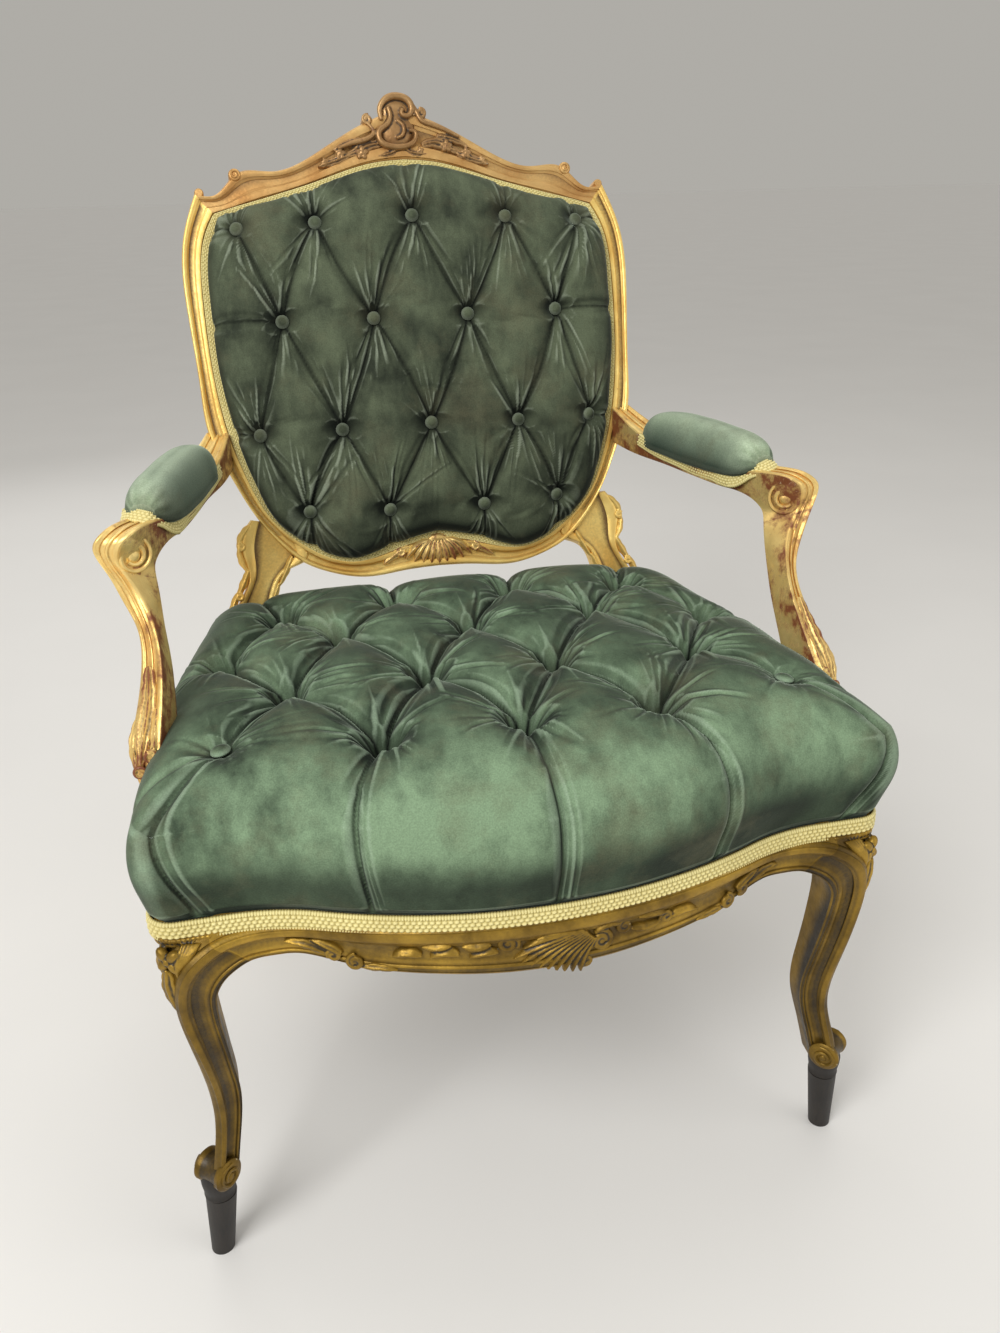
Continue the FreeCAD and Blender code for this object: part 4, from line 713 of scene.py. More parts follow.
def crest_cartouche():
    """Rocaille shield with scrolls, between two strings of leaves and flowers."""
    shield = Form()
    for s, wide, tall in ((461, 21, 24), (477, 18, 14)):
        shield.join(ball(on_back((-4, s, -5)), (wide, tall, 7), BACK_AXES, 14, 26))
    ribbons = [
        ([(-21, 466), (-22, 478), (-13, 489), (0, 491), (11, 486), (14, 477), (8, 470), (2, 473),
          (4, 478)], 3.8),
        ([(-13, 480), (-11, 470), (-16, 461), (-25, 454), (-24, 444), (-12, 438), (3, 438), (15, 445),
          (16, 453), (9, 455)], 3.6),
        ([(11, 486), (17, 479), (23, 466), (34, 461), (50, 455), (66, 447)], 2.8),
        ([(-36, 462), (-31, 453), (-38, 447), (-54, 443), (-72, 437)], 2.8),
        ([(-4, 466), (3, 459), (1, 450), (-6, 447)], 2.2),
    ]
    for points, radius in ribbons:
        line = through([(x, s, 2.2) for x, s in points], 40)
        shield.join(tube(on_back(line), [radius * 0.6, radius, radius, radius * 0.6], 12))
    for x, s, radius, start, hand in ((24, 473, 6.2, 0.3, -1), (-37, 467, 6.2, 0.2, 1)):
        shield.join(drum(x, s, radius, -14, 1.5), curl(x, s, radius, start, hand, 2.0, 1.4, 1.7))
    for points, width in (([(-22, 442), (-38, 440), (-52, 434), (-66, 430)], 13),
                          ([(-44, 447), (-60, 443), (-78, 436)], 9),
                          ([(-60, 430), (-78, 424), (-96, 419)], 10),
                          ([(22, 440), (40, 442), (54, 436), (68, 431)], 13),
                          ([(40, 450), (58, 446), (76, 437)], 9), ([(62, 429), (80, 424), (98, 418)], 10),
                          ([(0, 436), (14, 431), (30, 430)], 9), ([(0, 436), (-16, 431), (-32, 428)], 9)):
        shield.join(back_frond(points, width, 5.0, 4, 3))
    for x, s, radius, petals in ((-46, 432, 7, 5), (-70, 432, 5.5, 5), (-88, 424, 4, 4), (50, 438, 6.5, 5),
                                 (72, 430, 6, 5), (90, 423, 4, 4), (20, 434, 4, 4)):
        shield.join(flower(x, s, radius, petals, 0.5, 0.2))
    piece("crest_cartouche", fused(shield), dusty_gilding, crisp=0)


def lower_back_rail():
    body = loft(both_ways(frame_rings(SILL_OUTER, SILL_INNER, 70)))
    piece("lower_back_rail_moulded", body, bright_gilding, ["lower_back_rail"])
    shell = Form()
    for k in range(-4, 5):
        lean = k / 4
        tip = (lean * 39, -29 + 9 * lean * lean)
        mid = (lean * 27, -12 + 5 * lean * lean)
        shell.join(frond(on_back([(lean * 9, 2, -4), (mid[0], mid[1], 0.5), (tip[0], tip[1], -3)]),
                         BACK_NORMAL, 11 - abs(k) * 0.6, 5.5, 0, 1))
    shell.join(ball(on_back((0, 2, -2)), (12, 6, 6), BACK_AXES))
    for side in (-1, 1):
        shell.join(back_frond([(side * 34, -6), (side * 52, -14), (side * 66, -24)], 11, 4.5, 3))
        shell.join(curl(side * 44, -12, 6, 0.25, -side, 0.5, 1.3, 1.8))
    piece("lower_back_shell", fused(shell), worn_gilding, crisp=0)


CONSOLE_FRONT = [(0.0, -9.0), (0.03, -4.4), (0.10, -2.2), (0.17, -3.0), (0.21, -5.2), (0.30, -6.0),
                 (0.5, -6.4), (0.70, -6.0), (0.79, -5.2), (0.83, -3.0), (0.90, -2.2), (0.97, -4.4), (1.0, -9.0)]


def console():
    outside, inside, front = moulded(CONSOLE_OUTER, CONSOLE_INNER, 60, CONSOLE_FRONT, 34)
    rear = [lifted(line, -BACK_THICK + 2.0) for line in (inside, outside)]
    body = loft(on_back(np.concatenate([front] + rear, axis=1)))
    edges = Form()
    for points, width in (([(214, 34), (225, 20), (229, 4)], 9), ([(229, 8), (226, -8), (219, -20)], 8),
                          ([(220, -16), (228, -32), (237, -48)], 9), ([(236, -42), (243, -60), (247, -84)], 9),
                          ([(170, -4), (178, -20), (188, -38)], 8), ([(188, -34), (197, -56), (203, -82)], 8)):
        edges.join(back_frond(points, width, 4.6, 3, 1, -5.0))
    for x, s, radius, start, hand in ((226, 10, 5.5, 0.1, 1), (234, -46, 5.5, 0.15, 1)):
        edges.join(curl(x, s, radius, start, hand, -2.0, 1.3, 1.7))
    return body.join(fused(edges))


def rounded_square(x, y, z, wide, deep, radius=6.0, steps=5):
    corners = []
    for k, (sx, sy) in enumerate(((1, 1), (-1, 1), (-1, -1), (1, -1))):
        turn = np.linspace(0, math.pi / 2, steps) + k * math.pi / 2
        corners.append(np.stack([x + sx * (wide / 2 - radius) + radius * np.cos(turn),
                                 y + sy * (deep / 2 - radius) + radius * np.sin(turn),
                                 np.full(steps, z)], axis=1))
    return np.concatenate(corners)


REAR_LEG = [(391, 235, 182, 46, 48), (352, 235, 184, 43, 43), (300, 236, 190, 38, 40), (250, 238, 205, 34, 36),
            (200, 241, 224, 31, 32), (150, 244, 242, 29, 30), (118, 246, 252, 30, 31), (98, 247, 257, 33, 33)]

REAR_FOOT_AT = (247.0, 258.0)
# The turned collar between leg and foot: height and width
REAR_COLLAR = [(99.5, 33.0), (95, 34.0), (91, 33.0), (87.5, 30.8), (83, 30.2), (79, 31.4), (76.8, 30.6)]


def back_posts():
    leg = [rounded_square(x, y, z, wide, deep) for z, x, y, wide, deep in through(REAR_LEG, 70)]
    collar = [rounded_square(*REAR_FOOT_AT, z, wide, wide, wide / 2 - 0.1, 9) for z, wide in REAR_COLLAR]
    body = loft(leg).join(loft(collar), loft(frame_rings(STILE_OUTER, STILE_INNER, 90)), console())
    pair("back_post_moulded", body, bright_gilding, "back_post")


# Front legs and rail: one moulding runs up each leg, round the knee's arch and along the rail.
# Each row: bead crest, inner edge, outer shoulder, inner back, outer back
LEG_LINE = [
    ((305, -256, 100), (289, -246, 100), (310, -251, 100), (291, -222, 100), (306, -232, 100)),
    ((299, -253, 135), (283, -238, 136), (304, -248, 135), (285, -212, 136), (301, -227, 135)),
    ((295, -243, 165), (278, -230, 165), (300, -238, 165), (280, -204, 165), (298, -217, 165)),
    ((295, -242, 189), (277, -229, 188), (300, -237, 189), (279, -203, 188), (298, -215, 189)),
    ((297, -247, 218), (279, -234, 217), (302, -242, 218), (281, -205, 217), (300, -217, 218)),
    ((301, -253, 250), (281, -242, 250), (306, -248, 250), (283, -209, 250), (305, -219, 250)),
    ((306, -256, 280), (283, -248, 280), (312, -251, 280), (285, -211, 280), (310, -217, 280)),
    ((309, -258, 308), (283, -253, 304), (317, -251, 312), (285, -213, 304), (315, -213, 312)),
    ((306, -262, 333), (280, -256, 321), (319, -250, 343), (281, -214, 321), (318, -209, 343)),
    ((298, -264, 350), (272, -256, 333), (312, -254, 364), (272, -214, 333), (312, -207, 364)),
    ((285, -262, 361), (260, -254, 341), (297, -250, 378), (259, -212, 341), (297, -206, 378)),
    ((268, -257, 367), (245, -252, 345.5), (272, -246, 391), (244, -211, 345.5), (272, -206, 391)),
    ((248, -254, 369), (228, -252, 346), (249, -246, 391), (227, -212, 346), (249, -208, 391)),
]
RAIL_X = [222, 196, 168, 138, 106, 72, 36, 0]
APRON_EDGE = [(0, 329), (60, 330), (120, 332.5), (165, 335), (196, 340), (222, 345.5)]
BEAD_Z = 369.5

# Across the face: share from the bead's crest to the inner edge, and height
LEG_FACE = [(-0.24, -4.5), (-0.22, -0.5), (-0.16, 2.2), (-0.08, 3.8), (0.0, 4.2), (0.08, 3.4), (0.15, 1.6),
            (0.19, -1.0), (0.23, -2.2), (0.33, -2.4), (0.47, -1.8), (0.60, -0.6), (0.70, 0.5), (0.745, 0.2),
            (0.79, 1.7), (0.84, 2.3), (0.885, 1.3), (0.915, 1.2), (0.95, 1.9), (0.985, 1.3), (1.0, -0.6)]


def apron_z(x):
    edge = through(APRON_EDGE, 60)
    return np.interp(np.abs(x), edge[:, 0], edge[:, 1])


def leg_and_rail_rings():
    rows = [np.array(row, float).ravel() for row in LEG_LINE]
    for x in RAIL_X:
        y = float(front_face(x))
        lag = 0.06 * x
        rows.append(np.array([x, y - 7, BEAD_Z, x - lag, y - 6, apron_z(x), x, y - 1, RAIL_TOP,
                              x - lag, y + RAIL_THICK, apron_z(x), x, y + RAIL_THICK, RAIL_TOP], float))
    dense = through(np.array(rows), 230).reshape(-1, 5, 3)
    crest, inner, shoulder, inner_back, outer_back = (dense[:, k] for k in range(5))
    middle = (crest + inner) / 2
    normal = unit(np.cross(np.gradient(middle, axis=0), inner - crest))
    profile = through(LEG_FACE, 52)
    share = profile[:, 0][None, :, None]
    height = profile[:, 1][None, :, None]
    face = crest[:, None] + (inner - crest)[:, None] * share + normal[:, None] * height
    return np.concatenate([shoulder[:, None], face, inner_back[:, None], outer_back[:, None]], axis=1)


TOE_AT = np.array([306.0, -246.0, 112.0])
# Half of the toe's drum, from its end to the middle: distance along the axis and radius
TOE_HALF = [(16.5, 9), (16, 13.4), (14.2, 15.4), (11, 15.2), (8.5, 13.4), (3, 12.6)]


def toe():
    """Rolled toe: a drum across the leg's diagonal with a scroll on each end."""
    axis = np.array([math.sqrt(0.5), math.sqrt(0.5), 0.0])
    right = np.array([axis[1], -axis[0], 0.0])
    turn = angles(40)
    circle = np.cos(turn)[:, None] * right + np.sin(turn)[:, None] * UP
    profile = [(-d, r) for d, r in TOE_HALF] + TOE_HALF[::-1]
    made = loft([TOE_AT + axis * d + circle * r for d, r in profile])
    for way in (-1, 1):
        made.join(spiral(TOE_AT + axis * way * 16.4, axis * way, 12.4, 3.2, 1.7, 0.3, 2.1, way, 4.0))
    return made


CORNICE_Z = 374.5


def knee():
    """Rosette, fluted leaf, beaded cornice and drop at the leg's outer corner."""
    made = Form()
    out = unit(np.array([0.55, -0.83, 0.05]))
    centre = np.array([315.0, -256.0, 360.0])
    right, rise, _ = axes_to(out)
    for k in range(4):
        angle = math.pi / 4 + k * math.pi / 2
        lean = right * math.cos(angle) + rise * math.sin(angle)
        axes = np.array([lean, np.cross(out, lean), out])
        made.join(ball(centre + lean * 7.0, (7.0, 4.8, 4.6), axes, 7, 12))
    made.join(ball(centre + out * 2.5, (3.2, 3.2, 3.2)))
    for k in range(6):
        share = k / 5
        root = np.array([309.0 - 3 * share, -261.0, 346.0 + 8 * share])
        tip = np.array([302.0 - 14 * share, -256.0, 374.0 - 1.5 * share])
        middle = (root + tip) / 2 + np.array([2.0, -3.5, 0])
        made.join(frond([root, middle, tip], (0.2, -0.97, 0.1), 6.0, 3.0, 0, 1))
    cornice = [(281, -252), (298, -252), (313, -250), (322, -242), (325, -228), (325, -206)]
    cornice = even(through([(x, y, CORNICE_Z) for x, y in cornice], 80), 22)
    for at in cornice:
        made.join(ball(at, (2.7, 2.7, 2.7), None, 6, 10))
    made.join(tube(cornice - np.array([0, 0, 4.0]), [2.2, 2.2], 8))
    drop = [(317, -256, 350), (318, -255, 336), (316, -254, 318), (313, -254, 303)]
    made.join(frond(drop, out, 15, 4.5, 4, 2))
    made.join(frond([(321, -247, 362), (323, -238, 346), (320, -234, 326)], (0.9, -0.4, 0), 16, 4.5, 4, 2))
    made.join(loft([rounded_square(299.5, -221.5, z, 47, 47, 10) for z in (342, 360, 380, RAIL_TOP)]))
    return made


FRONT_FOOT_AT = (307.0, -240.0)
# The foot's turned head, height and radius
FRONT_COLLAR = [(110, 12), (103, 15.0), (98, 16.2), (92, 16.0), (86, 15.0), (80, 14.2), (78.5, 14.8),
                (77, 14.6), (76, 13.4)]
# Where rail and leg part: column of the bead's crest, its x and the lower edge's height
BEAD_COLUMN = 18
PARTING_X = 276
PARTING_Z = 335


def front_legs_and_rail():
    rings = leg_and_rail_rings()
    bead_x = rings[:, BEAD_COLUMN, 0]
    low = rings[:, -2, 2]
    joint = int(np.argmax((bead_x < PARTING_X) & (low > PARTING_Z)))
    leg = loft(rings[:joint + 1])
    pair("front_leg_moulded", leg.join(toe()), leg_gilding_shaded, "front_leg")
    carved = fused(knee())
    pair("front_knee_carving", carved, bronze_gilding)
    rail = loft(both_ways(rings[joint:]))
    piece("front_rail_moulded", rail, bronze_gilding, ["front_rail"])
    turn = angles(32)
    collar = []
    x, y = FRONT_FOOT_AT
    for z, radius in FRONT_COLLAR:
        lean = (112 - z) / 35 * 0.5
        collar.append(np.stack([x + lean + radius * np.cos(turn), y + lean + radius * np.sin(turn),
                                np.full_like(turn, z)], axis=1))
    pair("front_foot_collar", loft(collar), ebonised)


def on_rail(points):
    """Points (x, z, h) on the front rail's face, h in front of it."""
    return np.array([(x, float(front_face(x)) - 5 - h, z) for x, z, h in points])


def rail_normal(x):
    slope = float(front_face(x + 1) - front_face(x - 1)) / 2
    return unit(np.array([slope, -1.0, 0.0]))


def rail_leaf(points, width, rise, lobes=3, ribs=2):
    normal = rail_normal(points[len(points) // 2][0])
    return frond(on_rail([(x, z, 0.0) for x, z in points]), normal, width, rise, lobes, ribs)


def rail_curl(x, z, radius, start, hand, thick=2.2):
    at = on_rail([(x, z, 1.0)])[0]
    return spiral(at, rail_normal(x), radius, radius * 0.3, 1.4, start, thick, hand, radius * 0.36)


# Husks along the rail: points (x, z) and width
RAIL_HUSKS = [
    ([(-50, 352), (-62, 352), (-74, 348)], 9), ([(-56, 361), (-68, 358), (-80, 360)], 13),
    ([(-82, 352), (-94, 354), (-106, 350)], 11), ([(-88, 362), (-100, 360), (-112, 361)], 11),
    ([(-112, 352), (-124, 354), (-136, 351)], 10), ([(66, 352), (80, 349), (94, 351)], 9),
    ([(72, 362), (86, 361), (100, 358)], 10), ([(104, 352), (118, 354), (132, 350)], 9),
]


def rail_carving():
    """Shell spray at the centre, husks to the left, C-scrolls to the right and a leaf at each hip."""
    made = Form()
    for k in range(9):
        share = k / 8
        root = (33 - 12 * share, 352 + 12 * share)
        middle = (24 - 34 * share, 338 + 18 * share)
        tip = (20 - 58 * share, 319 + 16 * share ** 2 + 8 * share)
        made.join(rail_leaf([root, middle, tip], 8.4, 7.0, 0, 1))
    for k in range(5):
        share = k / 4
        root = (26 - 10 * share, 360)
        middle = (8 - 12 * share, 364 - 3 * share)
        tip = (-14 - 16 * share, 364 - 12 * share)
        made.join(rail_leaf([root, middle, tip], 7.0, 6.0, 0, 1))
    made.join(rail_curl(39, 347, 11, 0.35, -1, 3.0), rail_curl(-42, 359, 10, 0.9, 1, 2.8),
              rail_curl(25, 329, 6, 0.6, 1, 2.2))
    made.join(rail_leaf([(34, 358), (44, 362), (56, 359)], 9, 5.5, 3, 1))
    for points, width in RAIL_HUSKS:
        made.join(rail_leaf(points, width, 6.0, 2, 1))
    made.join(rail_curl(60, 356, 8, 0.1, 1, 2.4), rail_curl(100, 353, 6, 0.5, -1))
    for side in (-1, 1):
        made.join(rail_curl(side * 166, 343, 8, 0.25, -side, 2.6))
        made.join(rail_curl(side * 183, 348, 6.5, 0.6, side, 2.4))
        made.join(rail_leaf([(side * 190, 350), (side * 204, 357), (side * 222, 360)], 10, 5.5, 3))
        made.join(rail_leaf([(side * 176, 350), (side * 190, 358), (side * 200, 362)], 8, 5, 2))
        made.join(rail_leaf([(side * 160, 338), (side * 146, 338), (side * 132, 336)], 8, 4.5, 2))
    piece("front_rail_carving", fused(made), bronze_gilding, crisp=0)


SIDE_FACE = [(0.0, 0.0), (0.03, 2.0), (0.10, 4.0), (0.19, 4.4), (0.27, 2.6), (0.32, -0.6), (0.40, -1.4),
             (0.55, -1.0), (0.68, 0.2), (0.74, 0.4), (0.80, 1.8), (0.88, 2.2), (0.95, 1.4), (1.0, -0.6)]
SIDE_BEAD_Z = 374.0
SIDE_RAIL_Y = (-203, 160)


def side_rails():
    outline = seat_outline(1400)
    low, high = SIDE_RAIL_Y
    side = outline[(outline[:, 0] > 200) & (outline[:, 1] > low) & (outline[:, 1] < high)]
    tangent = unit(np.gradient(side, axis=0))
    out = np.stack([tangent[:, 1], -tangent[:, 0], np.zeros(len(side))], axis=1)
    base = np.column_stack([side, np.zeros(len(side))])
    profile = through(SIDE_FACE, 30)
    z = SIDE_BEAD_Z + (RAIL_BOTTOM + 1 - SIDE_BEAD_Z) * profile[:, 0]
    face = base[:, None] + out[:, None] * profile[:, 1][None, :, None]
    face[..., 2] += z
    rest = [base + np.array([0, 0, RAIL_TOP])]
    for depth, height in ((0.0, RAIL_BOTTOM), (RAIL_THICK, RAIL_BOTTOM), (RAIL_THICK, RAIL_TOP)):
        rest.append(base - out * depth + np.array([0, 0, height]))
    rings = np.concatenate([rest[0][:, None], face] + [line[:, None] for line in rest[1:]], axis=1)
    pair("side_rail_moulded", loft(rings[::3]), bronze_gilding, "side_rail")


# Arms: a moulded plank that rises from the side rail, rolls over at the hand and runs back to the stile.
# Each row: inner bead, outer bead, outer back, inner back
ARM_LINE = [
    ((300, -176, 362), (312, -172, 362), (312, -143, 362), (298, -146, 362)),
    ((300, -178, 400), (314, -170, 400), (314, -128, 400), (296, -133, 400)),
    ((304, -166, 440), (319, -155, 440), (317, -114, 440), (295, -120, 440)),
    ((308, -150, 476), (332, -138, 476), (321, -98, 476), (294, -104, 476)),
    ((303, -123, 519), (325, -103, 519), (316, -66, 519), (293, -77, 519)),
    ((300, -98, 547), (319, -77, 547), (314, -46, 545), (294, -58, 543)),
    ((302, -73, 574), (320, -57, 574), (316, -30, 570), (297, -38, 568)),
    ((310, -50, 598), (330, -46, 599), (319, -19, 592), (298, -26, 590)),
    ((321, -39, 618), (339, -42, 622), (322, -12, 608), (299, -19, 605)),
    ((327, -40, 634), (348, -36, 640), (323, -6, 618), (299, -14, 616)),
    ((322, -47, 648), (346, -35, 650), (323, -1, 622), (297, -9, 621)),
    ((313, -44, 656), (338, -29, 657), (323, 6, 626), (294, -3, 625)),
    ((303, -28, 658), (328, -13, 659), (323, 15, 630), (289, 7, 629)),
    ((293, -8, 656), (321, 6, 657), (324, 28, 632), (283, 20, 631)),
    ((278, 26, 651), (324, 36, 651), (324, 40, 632), (275, 32, 632)),
    ((271, 46, 650), (321, 58, 650), (321, 58, 632), (271, 46, 632)),
    ((259, 102, 650), (307, 114, 650), (307, 114, 632), (259, 102, 632)),
    ((250, 147, 650), (294, 163, 650), (294, 163, 632), (250, 147, 632)),
    ((235, 198, 660), (269, 215, 660), (269, 215, 633), (235, 198, 633)),
    ((224, 244, 676), (250, 257, 676), (250, 257, 637), (224, 244, 637)),
]
ARM_JOINT = 8
# Share of the back's width that its rounded edges take
ARM_EDGE = 0.12
ARM_FACE = [(0.0, 0.0), (0.02, 0.9), (0.07, 2.0), (0.14, 2.4), (0.21, 1.4), (0.25, -0.6), (0.31, -1.8),
            (0.38, -1.6), (0.43, -0.2), (0.485, 1.0), (0.54, 0.2), (0.575, -1.2), (0.64, -2.2), (0.73, -2.0),
            (0.78, -0.6), (0.83, 1.2), (0.90, 2.2), (0.96, 1.6), (0.99, 0.5), (1.0, 0.0)]


def arm_rings():
    dense = through(np.array(ARM_LINE, float).reshape(len(ARM_LINE), -1), 260).reshape(-1, 4, 3)
    inner, outer, outer_back, inner_back = (dense[:, k] for k in range(4))
    normal = unit((inner + outer) - (outer_back + inner_back))
    profile = through(ARM_FACE, 54)
    share = profile[:, 0][None, :, None]
    height = profile[:, 1][None, :, None]
    face = inner[:, None] + (outer - inner)[:, None] * share + normal[:, None] * height
    back = []
    for near, far, side in ((outer_back, inner_back, outer), (inner_back, outer_back, inner)):
        rim = near + (side - near) * ARM_EDGE
        turn = near + (far - near) * ARM_EDGE
        back.append([rim, near * 0.6 + (rim + turn) * 0.2, turn])
    lines = back[0] + back[1][::-1]
    return np.concatenate([face] + [line[:, None] for line in lines], axis=1)


VOLUTE_EYE = np.array([317.0, -29.0, 633.0])
VOLUTE_FACE = np.array([-0.48, -0.877, 0.0])


def volute():
    """Scroll on the hand's inner and outer faces."""
    made = spiral(VOLUTE_EYE + VOLUTE_FACE * 3.5, VOLUTE_FACE, 18.0, 7.0, 1.6, 0.30, 2.4, 1)
    made.join(ball(VOLUTE_EYE + VOLUTE_FACE * 2.0, (6.5, 6.5, 4.0), axes_to(VOLUTE_FACE), 10, 24))
    outer_eye = np.array([333.0, -8.0, 633.0])
    made.join(spiral(outer_eye, -VOLUTE_FACE, 15, 6, 1.3, 0.2, 1.6, -1, 5.0))
    return made


def support_leaf():
    """Acanthus on the support's foot: a long leaf on the moulded face with a scroll under it."""
    made = Form()
    line = through(np.array(ARM_LINE[:6], float).reshape(6, -1), 60).reshape(-1, 4, 3)
    middle = (line[:, 0] + line[:, 1]) / 2
    face = unit((line[:, 0] + line[:, 1]) - (line[:, 2] + line[:, 3])).mean(axis=0)
    across = unit(line[:, 1] - line[:, 0]).mean(axis=0)
    heights = middle[:, 2]

    def at(z, aside, lift=0.0):
        centre = np.array([np.interp(z, heights, middle[:, k]) for k in range(3)])
        return centre + across * aside + face * lift

    made.join(frond([at(552, 3, -1), at(525, 1, 1), at(500, 3, 2), at(474, 8, 1)], face, 17, 5.0, 6, 3))
    made.join(frond([at(520, -8), at(498, -9, 1), at(472, -5)], face, 9, 4.5, 4, 2))
    made.join(frond([at(512, 11), at(494, 13, 1), at(470, 12)], face, 9, 4.5, 4, 2))
    made.join(spiral(at(488, -5, 3), face, 7, 2.4, 1.4, 0.2, 1.9, 1, 2.6))
    made.join(spiral(at(474, 8, 3), face, 7, 2.4, 1.4, 0.6, 1.9, -1, 2.6))
    return made


def arms():
    rings = arm_rings()
    heights = rings[:, 0, 2]
    joint = int(np.argmax(heights > ARM_LINE[ARM_JOINT][0][2]))
    support = loft(rings[:joint + 1])
    pair("arm_support_moulded", support, worn_gilding, "arm_support")
    pair("arm_support_leaf", fused(support_leaf()), worn_gilding)
    pair("arm_moulded", loft(rings[joint:]).join(volute()), worn_gilding, "arm")


# Cushions: a grid over the plan, crowned, then drawn in at buttons and pleats
def sides_of(outline, corners):
    """The outline's stretches between its corners: front, right, rear and left, each left to right or front to
    rear."""
    marks = [int(np.argmin(np.linalg.norm(outline - corner, axis=1))) for corner in corners]
    count = len(outline)
    runs = []
    for k in range(4):
        a = marks[k]
        b = marks[(k + 1) % 4]
        runs.append(outline[[(a + j) % count for j in range((b - a) % count + 1)]])
    return runs[0], runs[1], runs[2][::-1], runs[3][::-1]


def along(line, share):
    """Points of a plan's line, at shares from -1 at its start to 1 at its end."""
    length = lengths(line)
    wanted = (share + 1) / 2 * length[-1]
    return np.stack([np.interp(wanted, length, line[:, k]) for k in range(2)], axis=-1)


def neighbours(grid):
    """Sum of each point's four neighbours."""
    return np.roll(grid, 1, 0) + np.roll(grid, -1, 0) + np.roll(grid, 1, 1) + np.roll(grid, -1, 1)


# Share of a cushion, from its middle, that is smoothed into a crown
CROWN_SHARE = 0.78


class Cushion:
    """A crowned pad over an outline. profile: (share of the outline, height, forward lean) from crown to
    foot."""

    def __init__(self, outline, corners, centre, profile, half_width, count, smoothing):
        self.centre = np.asarray(centre, float)
        self.outline = outline
        steps = np.linspace(-1, 1, count + 1)
        across, back = np.meshgrid(steps, steps)
        radius = np.maximum(np.maximum(np.abs(across), np.abs(back)), 1e-6)
        over = across / radius
        deep = back / radius
        front, right, rear, left = sides_of(outline, corners)
        rim = np.where((np.abs(back) >= np.abs(across))[..., None],
                       np.where((back < 0)[..., None], along(front, over), along(rear, over)),
                       np.where((across > 0)[..., None], along(right, deep), along(left, deep)))
        line = through([(k * half_width, h, lean) for k, h, lean in profile], 400)
        length = lengths(line[:, :2])
        reach = radius * length[-1]
        self.line_share = line[:, 0] / half_width
        self.line_length = length / half_width
        scale = np.interp(reach, length, line[:, 0]) / half_width
        height = np.interp(reach, length, line[:, 1])
        lean = np.interp(reach, length, line[:, 2])
        inner = radius < CROWN_SHARE
        for _ in range(smoothing):
            height = np.where(inner, neighbours(height) / 4, height)
        plan = self.centre + (rim - self.centre) * scale[..., None]
        self.points = np.dstack([plan[..., 0], plan[..., 1] - lean, height])
        self.flat = self.centre + (rim - self.centre) * (reach / half_width)[..., None]
        self.foot_share = length[-1] / half_width
        self.normal = unit(np.cross(np.gradient(self.points, axis=1), np.gradient(self.points, axis=0)))
        self.radius = radius

    def rim_at(self, direction):
        angle = np.arctan2(*(self.outline - self.centre).T[::-1])
        order = np.argsort(angle)
        turn = np.arctan2(direction[1], direction[0])
        reach = np.linalg.norm(self.outline - self.centre, axis=1)
        return np.interp(turn, angle[order], reach[order], period=2 * math.pi)

    def unrolled(self, place):
        """A place on the crown, in the flat cloth."""
        away = np.asarray(place, float) - self.centre
        reach = self.rim_at(away)
        share = np.linalg.norm(away) / reach
        top = int(np.argmax(self.line_share))
        length = np.interp(share, self.line_share[:top], self.line_length[:top])
        return self.centre + unit(away) * reach * length if share > 1e-6 else self.centre.copy()

    def foot(self, toward):
        """Where a line from the centre through that place meets the cushion's foot, in the flat cloth."""
        away = np.asarray(toward, float) - self.centre
        return self.centre + unit(away) * self.rim_at(away) * self.foot_share


def valley(flat, a, b, depths, reach, grip, bow=0.0):
    """Depth of a pleat from a to b: round shoulders that meet in a sharp line. depths: at a, between, at b."""
    run = b - a
    length = np.linalg.norm(run)
    way = run / length
    side = np.array([-way[1], way[0]])
    away = flat - a
    s = away @ way
    t = np.clip(s / length, 0, 1)
    aside = away @ side - bow * np.sin(math.pi * t)
    beyond = np.maximum(np.maximum(-s, s - length), 0)
    d = np.hypot(aside, beyond)
    deep = (depths[1] + (depths[0] - depths[1]) * np.exp(-t * length / grip)
            + (depths[2] - depths[1]) * np.exp(-(1 - t) * length / grip))
    q = 1 - np.clip(d / reach, 0, 1)
    return deep * (1 - np.sqrt(1 - q * q)), deep * np.exp(-d / CREASE_WIDTH)


# Half width of a tuft's flat bottom, sharpness of its pit and reach of its shade
BUTTON_SEAT = 6.0
PIT_SHARPNESS = 2.2
PIT_SHADE = 13.0
# Shade of a pleat against a tuft's, width of its dark line, shade and limits of the thin folds, their bend
PLEAT_SHADE = 1.8
CREASE_WIDTH = 3.2
FOLD_SHADE = 0.4
FOLD_LIMITS = (-3.5, 5.0)
RAY_BEND = 0.0025
# Thin folds: length of their fading ends; folds at a button: where they start and how soon they are full
FOLD_END = 10
RAY_START = 4
RAY_GROWTH = 8.0
# Cover: spare cloth, pressure from inside, frames of the simulation, most movement and least hold
COVER_FULLNESS = 0.012
COVER_PRESSURE = 14.0
COVER_FRAMES = 14
COVER_TRAVEL = 9.0
COVER_GRIP = 0.04
# Hold of the nailed edge: share of the plan where it begins and over which it grows; hold of a pleat;
# reach of a button's hold
EDGE_HOLD_FROM = 0.74
EDGE_HOLD_OVER = 0.2
PLEAT_HOLD = 0.4
BUTTON_HOLD = 10


